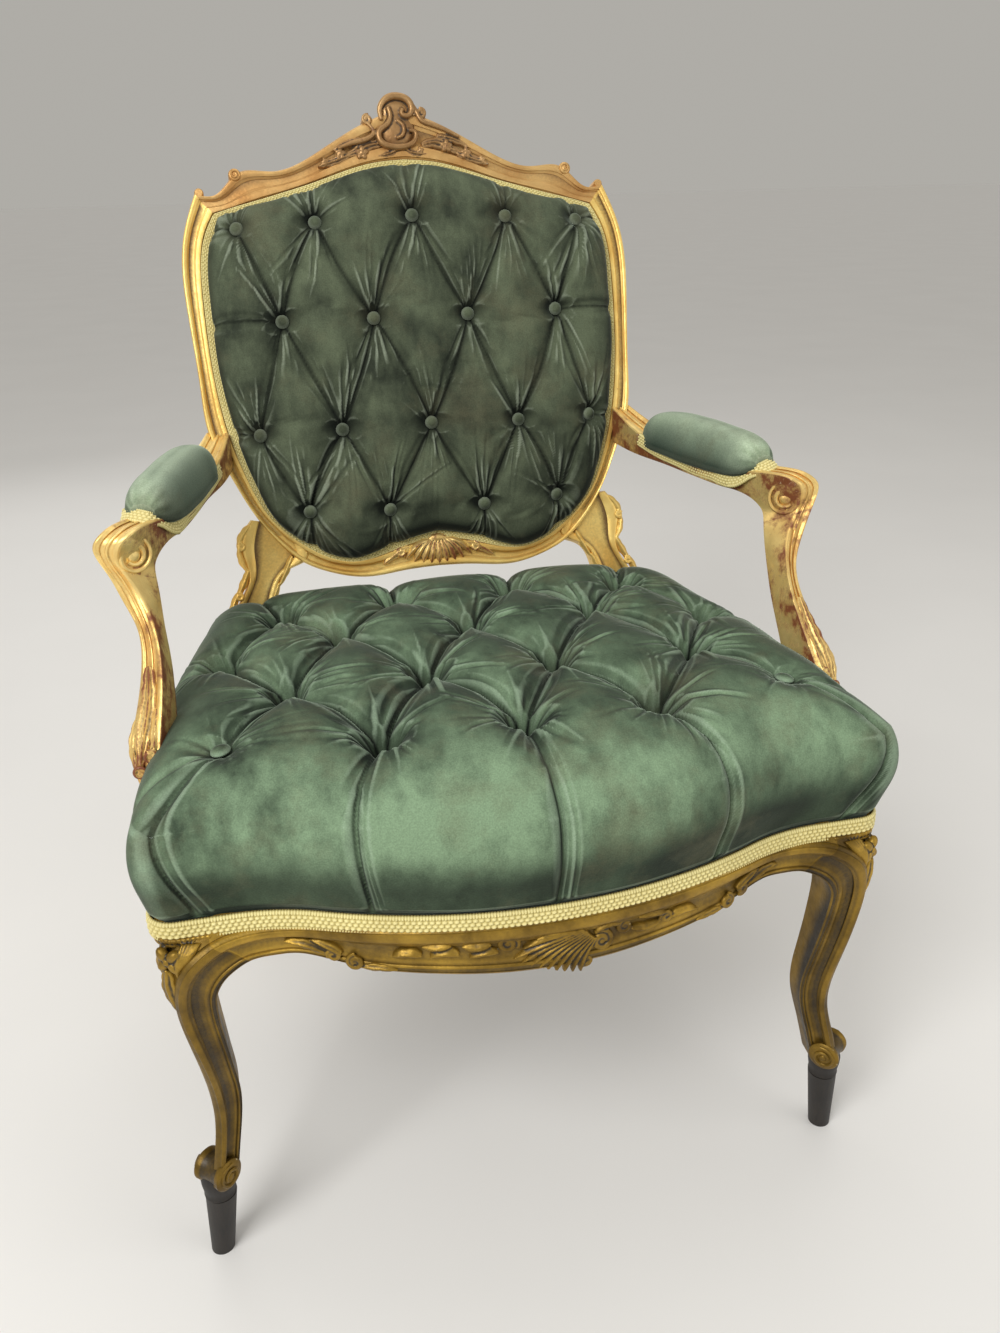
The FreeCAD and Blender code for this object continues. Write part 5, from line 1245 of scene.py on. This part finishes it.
def creased(cushion, tufts, settings):
    """Inward depth of the cloth, and the painted shade in its pleats, button pits and folds."""
    flat = cushion.flat
    depth = np.zeros(flat.shape[:2])
    dark = np.zeros(flat.shape[:2])
    ripple = np.zeros(flat.shape[:2])
    for a, b, depths, reach, grip, bow in settings["pleats"]:
        sunk, line = valley(flat, a, b, depths, reach, grip, bow)
        depth = np.maximum(depth, sunk)
        dark = np.maximum(dark, PLEAT_SHADE * line / max(settings["deep"]))
    for at, deep in zip(tufts, settings["deep"]):
        d = np.linalg.norm(flat - at, axis=-1)
        q = 1 - np.clip((d - BUTTON_SEAT) / settings["mouth"], 0, 1)
        depth = np.maximum(depth, deep * q ** PIT_SHARPNESS)
        dark = np.maximum(dark, deep / max(settings["deep"]) * np.exp(-d / PIT_SHADE))
    strongest = settings["ray_depth"][1]
    for a, b, strength, width, bow in settings["lines"]:
        away = flat - a
        length = np.linalg.norm(b - a)
        way = (b - a) / length
        s = away @ way
        t = np.clip(s / length, 0, 1)
        aside = away @ np.array([-way[1], way[0]]) - bow * np.sin(math.pi * t)
        swell = strength * np.clip(s / FOLD_END, 0, 1) * np.clip((length - s) / FOLD_END, 0, 1)
        gully = np.exp(-(aside / width) ** 2)
        ripple += swell * (gully - 0.5 * np.exp(-((aside - 2.6 * width) / (1.5 * width)) ** 2))
        dark = np.maximum(dark, FOLD_SHADE * swell / strongest * gully)
    for at, deep in zip(tufts, settings["deep"]):
        for _ in range(settings["rays"]):
            angle = settings["aim"](rng)
            length = rng.uniform(*settings["ray_length"])
            width = rng.uniform(*settings["ray_width"])
            strength = rng.uniform(*settings["ray_depth"]) * deep / max(settings["deep"])
            curve = rng.uniform(-RAY_BEND, RAY_BEND)
            way = np.array([math.cos(angle), math.sin(angle)])
            away = flat - at
            s = away @ way
            aside = away @ np.array([-way[1], way[0]]) - curve * s * s
            t = np.clip(s / length, 0, 1)
            swell = np.clip((s - RAY_START) / RAY_GROWTH, 0, 1) * (1 - t) ** 0.7 * (s > 0)
            gully = np.exp(-(aside / (width * (0.6 + 0.9 * t))) ** 2)
            lip = 0.6 * np.exp(-((aside - 3.0 * width) / (1.5 * width)) ** 2)
            ripple += strength * swell * (gully - lip)
            dark = np.maximum(dark, FOLD_SHADE * strength / strongest * swell * gully)
    return depth + np.clip(ripple, *FOLD_LIMITS), np.clip(dark, 0, 1)


def mirrored_places(places):
    """Places of one half, and their mirror images."""
    return [np.array(p, float) for p in places] + [np.array((-x, y), float) for x, y in places if x > 0]


def diamonds(tufts, flats, deep, middle, reach, grip):
    """Pleats between near tufts of different rows; middle is their depth between the ends."""
    pleats = []
    for k, a in enumerate(tufts):
        for j in range(k + 1, len(tufts)):
            b = tufts[j]
            gap = np.linalg.norm(b - a)
            if gap < PLEAT_REACH and abs(b[1] - a[1]) > gap / 2:
                depths = (0.8 * deep[k], middle, 0.8 * deep[j])
                pleats.append((flats[k], flats[j], depths, reach, grip, rng.uniform(-5, 5)))
    return pleats


def beside(pleats, strength, spread):
    """Thin folds that run along each pleat, one on each side, and meet it at its ends."""
    lines = []
    for a, b, _, _, _, bow in pleats:
        for way in (-1, 1):
            lines.append((a, b, rng.uniform(0.6, 1.0) * strength, rng.uniform(2.2, 3.2),
                          bow + way * rng.uniform(*spread)))
    return lines


LUMP_WAVES = 7


def lumps(points, size, seed):
    """Slow unevenness of hand stuffing, from crossing waves of that size up to twice as long."""
    local = np.random.default_rng(seed)
    total = np.zeros(points.shape[:2])
    for _ in range(LUMP_WAVES):
        way = unit(local.normal(size=3))
        total += np.sin(points @ way * 2 * math.pi / local.uniform(size, 2 * size) + local.uniform(0, 6.3))
    return total / LUMP_WAVES


def closed_pad(grid, floor):
    """A cushion's skin over a flat bottom."""
    made = net(grid)
    rows, columns = grid.shape[:2]
    index = np.arange(rows * columns).reshape(rows, columns)
    edge = [int(k) for k in (*index[0], *index[1:, -1], *index[-1, -2::-1], *index[-2:0:-1, 0])]
    start = len(made.points)
    low = made.points[edge].copy()
    low[:, 2] = floor
    made.points = np.vstack([made.points, low])
    count = len(edge)
    made.faces.extend((edge[k], start + k, start + (k + 1) % count, edge[(k + 1) % count])
                      for k in range(count))
    made.faces.append(tuple(range(start, start + count)))
    return made


def grip_at(cushion, tufts, pleats):
    """How firmly the cover is held: at the buttons and the nailed edge, partly along the pleats, loosely
    between."""
    held = np.clip(COVER_GRIP + (cushion.radius - EDGE_HOLD_FROM) / EDGE_HOLD_OVER, COVER_GRIP, 1.0)
    for a, b, _, _, _, bow in pleats:
        _, line = valley(cushion.flat, a, b, (1, 1, 1), 10, 10, bow)
        held = np.maximum(held, PLEAT_HOLD * line)
    for at in tufts:
        held = np.where(np.linalg.norm(cushion.flat - at, axis=-1) < BUTTON_HOLD, 1.0, held)
    return held


def settled(grid, held, step, name):
    """The cover let go between its buttons: cloth a little too large for its stuffing, pressed out from
    inside."""
    coarse = grid[::step, ::step]
    rows, columns = coarse.shape[:2]
    cloth = net(coarse)
    mesh = bpy.data.meshes.new(name)
    mesh.from_pydata((cloth.points * MM).tolist(), [], cloth.faces)
    holder = linked(name, mesh)
    group = holder.vertex_groups.new(name="held")
    grip = np.round(held[::step, ::step].ravel(), 2)
    for weight in np.unique(grip):
        group.add(np.flatnonzero(grip == weight).tolist(), float(weight), "REPLACE")
    cover = holder.modifiers.new("cover", "CLOTH")
    for setting, value in (("quality", 5), ("mass", 0.3), ("tension_stiffness", 15.0),
                           ("compression_stiffness", 15.0), ("shear_stiffness", 5.0),
                           ("bending_stiffness", 0.5), ("vertex_group_mass", "held"),
                           ("shrink_min", -COVER_FULLNESS), ("use_pressure", True),
                           ("uniform_pressure_force", COVER_PRESSURE)):
        setattr(cover.settings, setting, value)
    cover.settings.effector_weights.gravity = 0.0
    cover.collision_settings.use_collision = False
    for number in range(1, COVER_FRAMES + 1):
        bpy.context.scene.frame_set(number)
    made = holder.evaluated_get(bpy.context.evaluated_depsgraph_get()).to_mesh()
    moved = np.empty(len(made.vertices) * 3)
    made.vertices.foreach_get("co", moved)
    moved = moved.reshape(rows, columns, 3) / MM - coarse
    bpy.data.objects.remove(holder)
    bpy.data.meshes.remove(mesh)
    bpy.context.scene.frame_set(1)
    reach = np.linalg.norm(moved, axis=2, keepdims=True)
    moved = moved * np.minimum(1, COVER_TRAVEL / np.maximum(reach, 1e-6))
    for _ in range(2):
        moved[1:-1, 1:-1] = (moved / 2 + neighbours(moved) / 8)[1:-1, 1:-1]
    fine = np.arange(grid.shape[0]) / step
    for known in (np.arange(columns), np.arange(rows)):
        moved = np.stack([[np.interp(fine, known, row) for row in moved[..., k]] for k in range(3)], axis=-1)
        moved = moved.transpose(1, 0, 2)
    return grid + moved


def drawn_in(pad, flats, settings, swell, edge, step, name):
    """The cover's grid, swollen, drawn in and settled, and the painted shade in its folds; edge is the share of
    the plan over which it is held down."""
    depth, dark = creased(pad, flats, settings)
    fade = np.clip((1 - pad.radius) / edge, 0, 1)
    grid = pad.points + pad.normal * ((swell - depth) * fade)[..., None]
    return settled(grid, grip_at(pad, flats, settings["pleats"]), step, name), dark


SEAT_PROFILE = [(0.0, 1.0, 0), (0.30, 0.996, 0), (0.52, 0.985, 0), (0.68, 0.962, 0), (0.85, 0.905, 2),
                (0.965, 0.80, 5), (1.018, 0.62, 9), (1.03, 0.42, 11), (1.02, 0.2, 6), (1.006, 0.0, 1)]
SEAT_CORNERS = [(-317, -239), (317, -239), (253, 201), (-253, 201)]
SEAT_CENTRE = (0.0, (BOW_Y + REAR_Y) / 2)
SEAT_HALF = 300.0

BUTTON_RADIUS = 7.5
BUTTON_HEIGHT = 4.0
# Shares of a button's radius and height, from its back to its crown
BUTTON_PROFILE = [(0.55, -0.7), (0.92, -0.35), (1.0, 0.0), (0.94, 0.35), (0.74, 0.68), (0.42, 0.9),
                  (0.12, 1.0)]


def button_form(at, normal, radius, height):
    """A covered button, pinched where it is drawn in."""
    axes = axes_to(normal, (0.2, 0.9, 0.1))
    turn = angles(22)
    circle = np.cos(turn)[:, None] * axes[0] + np.sin(turn)[:, None] * axes[1]
    return loft([at + circle * radius * share + axes[2] * height * rise for share, rise in BUTTON_PROFILE])


def nearest(cushion, flat_place):
    d = np.linalg.norm(cushion.flat - flat_place, axis=-1)
    return np.unravel_index(int(np.argmin(d)), d.shape)


def seat_cushion():
    outline = seat_outline(1600)
    profile = [(k, RAIL_TOP + SEAT_CROWN * h, lean) for k, h, lean in SEAT_PROFILE]
    pad = Cushion(outline, SEAT_CORNERS, SEAT_CENTRE, profile, SEAT_HALF, count=480, smoothing=560)
    tufts = [p + rng.uniform(-3, 3, 2) for p in mirrored_places(SEAT_TUFTS)]
    flats = [pad.unrolled(p) for p in tufts]
    deep = [SEAT_SIDE_DEEP if abs(p[0]) > 240 and p[1] < -150 else SEAT_DEEP for p in tufts]
    pleats = diamonds(tufts, flats, deep, middle=17.0, reach=44, grip=30)
    lines = beside(pleats, strength=1.8, spread=(6, 12))
    for (x, y), flat, drawn in zip(tufts, flats, deep):
        if y < -150:
            foot = pad.foot((x * 1.08, BOW_Y + 30 + abs(x) * 0.12))
            bow = rng.uniform(-4, 4)
            pleats.append((flat, foot, (drawn * 0.8, 8, 5), 12, 24, bow))
            if drawn == SEAT_DEEP:
                pleats.append((flat, flat + (foot - flat) * 0.4, (drawn * 0.85, 15, 4), 36, 24, 0.0))
            for aside in (8.0, 13.0):
                shift = np.array([aside + rng.uniform(-1.5, 1.5), 0.0])
                lines.append((flat + shift * 0.3, foot + shift, rng.uniform(0.4, 0.8), 1.6, bow))
        if abs(x) > 240:
            foot = pad.foot((math.copysign(330, x), y * 1.02))
            pleats.append((flat, foot, (drawn * 0.8, 6, 4), 11, 22, rng.uniform(-4, 4)))
        if y > 100:
            foot = pad.foot((x * 1.12, 260))
            pleats.append((flat, foot, (30, 11, 6), 30, 28, rng.uniform(-5, 5)))
    settings = {"pleats": pleats, "lines": lines, "deep": deep, "mouth": 32.0, "rays": 26,
                "ray_width": (1.2, 2.1), "ray_length": (24, 88), "ray_depth": (0.7, 2.6),
                "aim": lambda draw: draw.uniform(0, 2 * math.pi)}
    swell = 3.0 + 2.4 * lumps(pad.points, 70.0, 3)
    grid, dark = drawn_in(pad, flats, settings, swell, edge=0.02, step=4, name="seat_cover")
    made = closed_pad(grid, RAIL_TOP - 1.0)
    # Painted shade of the folds on the cover's points, none on its flat bottom
    painted_shade = np.concatenate([dark.ravel(), np.zeros(len(made.points) - dark.size)])
    obj = piece("seat_cushion_buttoned", made, seat_velvet, ["seat_cushion"],
                {"painted_shade": painted_shade}, crisp=0, rounds=CLOTH_ROUNDS)
    buttons = Form()
    for flat, drawn in zip(flats, deep):
        k = nearest(pad, flat)
        shallow = 1 - drawn / SEAT_DEEP
        at = grid[k] + pad.normal[k] * (2 + 4 * shallow)
        buttons.join(button_form(at, pad.normal[k], BUTTON_RADIUS + 2 * shallow, BUTTON_HEIGHT))
    obj = piece("seat_buttons_covered", buttons, seat_velvet, ["seat_buttons"],
                {"painted_shade": np.full(len(buttons.points), 0.0)})


BACK_PROFILE = [(0.0, 1.0, 0), (0.40, 0.995, 0), (0.62, 0.97, 0), (0.80, 0.90, 0), (0.91, 0.78, 0),
                (0.975, 0.60, 0), (1.0, 0.36, 0), (0.985, 0.0, 0)]
BACK_CENTRE = (0.0, 214.0)
BACK_HALF = 200.0


def back_cushion():
    floor = -8.0
    outline = back_outline(PAD_CLEAR, 1600)
    corners = [(-150, 14), (150, 14), (205, 360), (-205, 360)]
    profile = [(k, floor + (BACK_CROWN - floor) * h, lean) for k, h, lean in BACK_PROFILE]
    pad = Cushion(outline, corners, BACK_CENTRE, profile, BACK_HALF, count=330, smoothing=280)
    tufts = [p + rng.uniform(-2, 2, 2) for p in mirrored_places(BACK_TUFTS)]
    flats = [pad.unrolled(p) for p in tufts]
    deep = [BACK_DEEP] * len(flats)
    pleats = diamonds(tufts, flats, deep, middle=5.4, reach=27, grip=20)
    for (x, s), flat in zip(tufts, flats):
        for outermost, toward, depths, reach, grip in (
                (s > 340, (x * 1.02, 440 - abs(x) * 0.25), (10, 2.2, 3), 14, 16),
                (s < 60, (x * 1.04, -20), (13, 4.0, 4), 20, 20),
                (abs(x) > 150, (math.copysign(236, x), s), (10, 2.6, 3), 16, 16)):
            if outermost:
                pleats.append((flat, pad.foot(toward), depths, reach, grip, rng.uniform(-3, 3)))

    def mostly_upright(draw):
        return draw.choice([-1, 1]) * math.pi / 2 + draw.normal(0, 0.36)

    lines = beside(pleats, strength=0.7, spread=(4, 10))
    settings = {"pleats": pleats, "lines": lines, "deep": deep, "mouth": 22.0, "rays": 24,
                "ray_width": (1.0, 1.8), "ray_length": (28, 100), "ray_depth": (0.5, 1.9),
                "aim": mostly_upright}
    swell = 2.2 + 1.6 * lumps(pad.points, 60.0, 5)
    grid, dark = drawn_in(pad, flats, settings, swell, edge=0.03, step=3, name="back_cover")
    made = closed_pad(grid, floor - 1.0)
    made.points = on_back(made.points)
    # Painted shade of the folds on the cover's points, none on its flat bottom
    painted_shade = np.concatenate([dark.ravel(), np.zeros(len(made.points) - dark.size)])
    obj = piece("back_cushion_buttoned", made, back_velvet, ["back_cushion"],
                {"painted_shade": painted_shade}, crisp=0, rounds=CLOTH_ROUNDS)
    buttons = Form()
    for flat in flats:
        k = nearest(pad, flat)
        buttons.join(button_form(grid[k] + pad.normal[k] * 2.5, pad.normal[k], BUTTON_RADIUS, BUTTON_HEIGHT))
    buttons.points = on_back(buttons.points)
    # A faint even painted shade on the back's buttons
    obj = piece("back_buttons_covered", buttons, back_velvet, ["back_buttons"],
                {"painted_shade": np.full(len(buttons.points), 0.04)})


# Arm pads: centre line, half width and crown along the arm
PAD_STEPS = 110
# Powers that round the pad's flank and crown, and its fall below the line
PAD_FLANK = 0.72
PAD_ROUND = 0.85
PAD_FALL = 0.12
# Gathers: height, count, and the share of the pad where they begin and over which they grow, or where they end
FRONT_GATHERS = (0.3, 13, 0.84, 0.16)
REAR_GATHERS = (0.4, 11, 0.10)
PAD_LINE = [(258, 196, 648, 15, 17), (261, 184, 647, 22, 32), (268, 158, 646, 25, 41),
            (277, 120, 646, 26.5, 44), (286, 80, 646, 26.5, 44), (294, 46, 647, 26, 42),
            (300, 22, 650, 24, 36), (304, 9, 654, 19, 26), (306, 2, 657, 12, 13)]


def arm_pads():
    line = through(PAD_LINE, PAD_STEPS)
    centre = line[:, :3]
    tangent = unit(np.gradient(centre, axis=0))
    side = unit(np.cross(tangent, UP))
    turn = angles(72)
    round_side = np.abs(np.sin(turn))
    across = np.sign(np.cos(turn)) * np.abs(np.cos(turn)) ** PAD_FLANK
    rise = np.where(np.sin(turn) > 0, round_side ** PAD_ROUND, -PAD_FALL * round_side)
    share = np.linspace(0, 1, PAD_STEPS)[:, None]
    height, count, begin, over = FRONT_GATHERS
    waves = np.sin(turn * count + 0.6) * (np.sin(turn) > -0.2)
    gather = height * np.clip((share - begin) / over, 0, 1) * waves
    height, count, end = REAR_GATHERS
    gather = gather + height * np.clip((end - share) / end, 0, 1) * np.sin(turn * count)
    wide = line[:, 3:4] + gather
    tall = line[:, 4:5] + gather
    points = centre[:, None] + side[:, None] * (wide * across)[..., None] + UP * (tall * rise)[..., None]
    points = points + UP * (0.9 * lumps(points, 40.0, 9))[..., None]
    made = loft(points)
    # Painted shade on the pad's lower side, below its centre line, fading within a few millimetres above it
    painted_shade = np.clip(0.8 * np.exp(-np.maximum(points[..., 2] - line[:, 2:3] - 2, 0) / 5.0), 0, 1)
    for way, form in hands(made):
        obj = piece("arm_pad_stuffed_" + way, form, pad_velvet, ["arm_pad_" + way],
                    {"painted_shade": painted_shade}, crisp=0)


# Braid: cords woven across a narrow band, with looped edges
CORDS = 5


def braid(path, out, width, thick, pitch):
    """A band centred on a path; out is the outward direction at each point."""
    path = np.asarray(path, float)
    tangent = unit(np.gradient(path, axis=0))
    out = unit(out - tangent * np.sum(out * tangent, axis=1, keepdims=True))
    rise = np.cross(out, tangent)
    length = lengths(path)[:, None]
    across = np.linspace(-1, 1, 25)[None, :]
    turn = 2 * math.pi * length / pitch
    loops = 0.08 * np.abs(np.sin(turn)) * np.abs(across) ** 6
    rows = np.floor((across + 1) * CORDS / 2)
    checker = np.abs(np.sin(turn / 2 + math.pi / 2 * (rows % 2)))
    cord = np.where(np.abs(across) > 0.6, np.abs(np.sin(turn)), checker)
    bed = np.abs(np.sin(math.pi * (across + 1) * CORDS / 2)) ** 0.6
    weave = cord ** 0.7 * bed
    edge = 1 - np.abs(across) ** 8
    height = thick * (0.35 * edge + 0.65 * weave * edge)
    face = (path[:, None] + rise[:, None] * (width / 2 * across * (1 + loops))[..., None]
            + out[:, None] * height[..., None])
    rear = [path[:, None] + rise[:, None] * (width / 2 * k) for k in (0.96, -0.96)]
    made = loft(np.concatenate([face] + rear, axis=1))
    # Painted shade: darker between the cords, full on the band's hidden rear faces
    gap = np.clip(1 - weave * 1.25, 0, 1) * np.ones_like(height)
    return made, np.concatenate([gap, np.ones((len(path), 2))], axis=1).ravel()


def braid_piece(name, form, painted_cord_shade, stands_for):
    piece(name, form, gold_braid, stands_for, {"painted_shade": painted_cord_shade}, crisp=0)


# Seat braid: height, where it ends at the sides, and its steps
SEAT_BRAID_Z = 382.0
SEAT_BRAID_END_Y = 158
SEAT_BRAID_STEPS = 2600


def rail_braid():
    outline = seat_outline(4200, 1.0)
    start = int(np.argmin(np.abs(outline[:2100, 1] - SEAT_BRAID_END_Y) + (outline[:2100, 0] < 0) * 900))
    right = outline[:start]
    line = np.vstack([(right * (-1, 1))[:0:-1], right])
    path = np.column_stack([even(line, SEAT_BRAID_STEPS), np.full(SEAT_BRAID_STEPS, SEAT_BRAID_Z)])
    tangent = unit(np.gradient(path, axis=0))
    out = np.stack([tangent[:, 1], -tangent[:, 0], np.zeros(len(path))], axis=1)
    proud = np.where(path[:, 1] < -200, 5.0, 2.0)
    proud = np.convolve(np.pad(proud, 100, mode="edge"), np.ones(201) / 201, mode="valid")
    form, painted_cord_shade = braid(path + out * proud[:, None], out, width=19.0, thick=3.4, pitch=5.0)
    braid_piece("seat_braid", form, painted_cord_shade, ["seat_gimp"])


def back_braids():
    for name, inward, count, n, way, size, node in (
            ("back_braid", 4.8, 2000, -1.5, 1, (9.8, 3.0, 4.2), "back_gimp"),
            ("outside_back_braid", 10.0, 1300, -BACK_THICK - 1.0, -1, (12.0, 2.6, 4.6),
             "outside_back_gimp")):
        path = on_back(np.column_stack([back_outline(inward, count), np.full(count, n)]))
        path = np.vstack([path, path[:1]])
        braid_piece(name, *braid(path, way * np.broadcast_to(BACK_NORMAL, path.shape), *size), [node])


ARM_BRAID = [(238, 186, 652), (249, 150, 645), (258, 112, 643), (266, 76, 641), (272, 48, 642), (277, 28, 641),
             (283, 14, 644), (291, 3, 653), (301, -5, 659), (312, 0, 661), (321, 12, 659), (325, 32, 651),
             (322, 58, 646), (312, 96, 644), (302, 136, 645), (291, 172, 648), (284, 190, 652)]


def arm_braids():
    path = even(through(ARM_BRAID, 900), 560)
    spine = through([row[:3] for row in PAD_LINE], 200)
    gap = np.linalg.norm(path[:, None, :2] - spine[None, :, :2], axis=2)
    out = path - spine[np.argmin(gap, axis=1)]
    out[:, 2] = np.where(path[:, 1] < 22, 8.0, 1.0)
    form, painted_cord_shade = braid(path, unit(out), width=15.0, thick=2.8, pitch=4.4)
    for way, shape in hands(form):
        braid_piece("arm_braid_" + way, shape, painted_cord_shade, ["arm_gimp_" + way])


# Cloths that the view does not reach, and the inner stuffing
def sheets():
    outline = seat_outline(900, -15.0)
    corners = [(-302, -228), (302, -228), (240, 190), (-240, 190)]
    sag = [(0, 333.0, 0), (0.5, 334.4, 0), (0.97, 336.0, 0), (1.0, 336.3, 0)]
    flat = Cushion(outline, corners, SEAT_CENTRE, sag, SEAT_HALF, count=90, smoothing=40)
    grid = flat.points.copy()
    grid[..., 2] += 0.4 * lumps(grid, 60.0, 12)
    obj = piece("dust_cover_cloth", net(grid), black_cotton, ["dust_cover"])
    outline = back_outline(6.0, 900)
    corners = [(-160, 8), (160, 8), (208, 366), (-208, 366)]
    bulge = [(0, -34.0, 0), (0.5, -33.8, 0), (1.0, -33.0, 0)]
    panel = Cushion(outline, corners, BACK_CENTRE, bulge, BACK_HALF, count=110, smoothing=60)
    grid = panel.points.copy()
    grid[..., 2] += 0.5 * lumps(grid, 50.0, 15)
    form = net(grid)
    form.points = on_back(form.points)
    obj = piece("outside_back_cloth", form, green_cotton, ["outside_back_cover"])
    profile = [(0, 451, 0), (0.5, 450, 0), (0.70, 446, 0), (0.84, 438, 0), (0.93, 420, 0), (0.955, 400, 0),
               (0.955, 391.5, 0)]
    outline = seat_outline(700)
    stuffing = Cushion(outline, SEAT_CORNERS, SEAT_CENTRE, profile, SEAT_HALF, count=60, smoothing=30)
    form = closed_pad(stuffing.points, RAIL_TOP + 0.2)
    obj = piece("first_stuffing_pad", form, hessian, ["first_stuffing"])


def carried_over():
    """Finishes of the nodes that stay as the frame has them."""
    finishes = {"front_foot": ebonised, "rear_foot": ebonised, "rear_rail": bronze_gilding,
                "corner_blocks": beech, "joint_pegs": beech, "frame_dowels": beech, "seat_webbing": jute,
                "back_webbing": jute, "spring_canvas": hessian, "back_hessian": hessian,
                "seat_springs": wire_steel, "corner_screws": wire_steel, "arm_screws": wire_steel}
    for name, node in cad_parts.items():
        for stem, finish in finishes.items():
            if name.startswith(stem):
                node.data.materials.clear()
                node.data.materials.append(finish)


# Floor and lamps are placed in metres, the camera in the chair's millimetres
FLOOR_REACH = 40.0


def stage():
    floor = bpy.data.meshes.new("floor")
    corners = [(x * FLOOR_REACH, y * FLOOR_REACH, 0) for x, y in ((-1, -1), (1, -1), (1, 1), (-1, 1))]
    floor.from_pydata(corners, [], [(0, 1, 2, 3)])
    made, tree, shader, place = surface("pale floor")
    mottle = add(tree, "TexNoise", {"Vector": (place, "Object"), "Scale": per(400), "Detail": 3.0})
    tone = add(tree, "Mix", {0: (mottle, "Fac"), 6: linear("#e2e0dc"), 7: linear("#e8e6e2")}, data_type="RGBA")
    feed(tree, shader, {"Base Color": (tone, 2), "Roughness": 0.8})
    floor.materials.append(made)
    linked("floor", floor)


def lights():
    for name, at, aim, size, power in (("key", (-1.5, -1.7, 2.3), (0, -0.1, 0.5), 1.3, 56.0),
                                       ("fill", (2.0, -1.6, 1.3), (0, 0, 0.5), 1.8, 12.0),
                                       ("top", (0.2, 0.6, 2.8), (0, 0, 0.6), 1.8, 12.0),
                                       ("rear", (-0.8, 2.6, 1.6), (0, 0, 0.6), 1.6, 8.0)):
        lamp = bpy.data.lights.new(name, "AREA")
        lamp.size = size
        lamp.energy = power
        holder = linked(name, lamp)
        holder.location = at
        holder.rotation_euler = (Vector(aim) - Vector(at)).to_track_quat("-Z", "Y").to_euler()
    world = bpy.data.worlds.new("studio")
    bpy.context.scene.world = world
    world.use_nodes = True
    tree = world.node_tree
    tree.nodes.clear()
    rays = add(tree, "LightPath")
    seen = add(tree, "Math", {0: (rays, "Is Camera Ray"), 1: (rays, "Is Glossy Ray")}, operation="MAXIMUM")
    seen = add(tree, "Math", {0: (seen, "Value"), 1: (rays, "Is Transmission Ray")}, operation="MAXIMUM")
    lit = add(tree, "Background", {"Color": linear("#f4f2ee"), "Strength": 0.6})
    shown = add(tree, "Background", {"Color": linear("#d9d6cf"), "Strength": 0.617})
    mixed = add(tree, "MixShader", {0: (seen, "Value"), 1: (lit, "Background"), 2: (shown, "Background")})
    add(tree, "OutputWorld", {"Surface": (mixed, "Shader")})


CAMERA_AT = (-205.5, -1017.5, 943.0)
CAMERA_YAW = math.radians(12.74)
CAMERA_PITCH = math.radians(24.42)
CAMERA_ROLL = math.radians(-1.17)
FOCAL_PIXELS = 1100.0
IMAGE_HEIGHT = 1333.0
SENSOR = 36.0


def camera():
    forward = Vector((math.sin(CAMERA_YAW) * math.cos(CAMERA_PITCH),
                      math.cos(CAMERA_YAW) * math.cos(CAMERA_PITCH), -math.sin(CAMERA_PITCH)))
    level = Vector((math.cos(CAMERA_YAW), -math.sin(CAMERA_YAW), 0))
    upright = level.cross(forward)
    right = math.cos(CAMERA_ROLL) * level + math.sin(CAMERA_ROLL) * upright
    up = math.cos(CAMERA_ROLL) * upright - math.sin(CAMERA_ROLL) * level
    data = bpy.data.cameras.new("camera")
    data.sensor_width = SENSOR
    data.lens = FOCAL_PIXELS / IMAGE_HEIGHT * SENSOR
    data.clip_start = 0.05
    holder = linked("camera", data)
    axes = Matrix((right, up, -forward)).transposed().to_4x4()
    axes.translation = Vector((np.array(CAMERA_AT) + SHIFT) * MM)
    holder.matrix_world = axes
    bpy.context.scene.camera = holder


bpy.context.scene.view_settings.view_transform = "Standard"
camera()
stage()
lights()
crest_rail()
crest_cartouche()
lower_back_rail()
back_posts()
front_legs_and_rail()
rail_carving()
side_rails()
arms()
seat_cushion()
back_cushion()
arm_pads()
rail_braid()
back_braids()
arm_braids()
sheets()
carried_over()
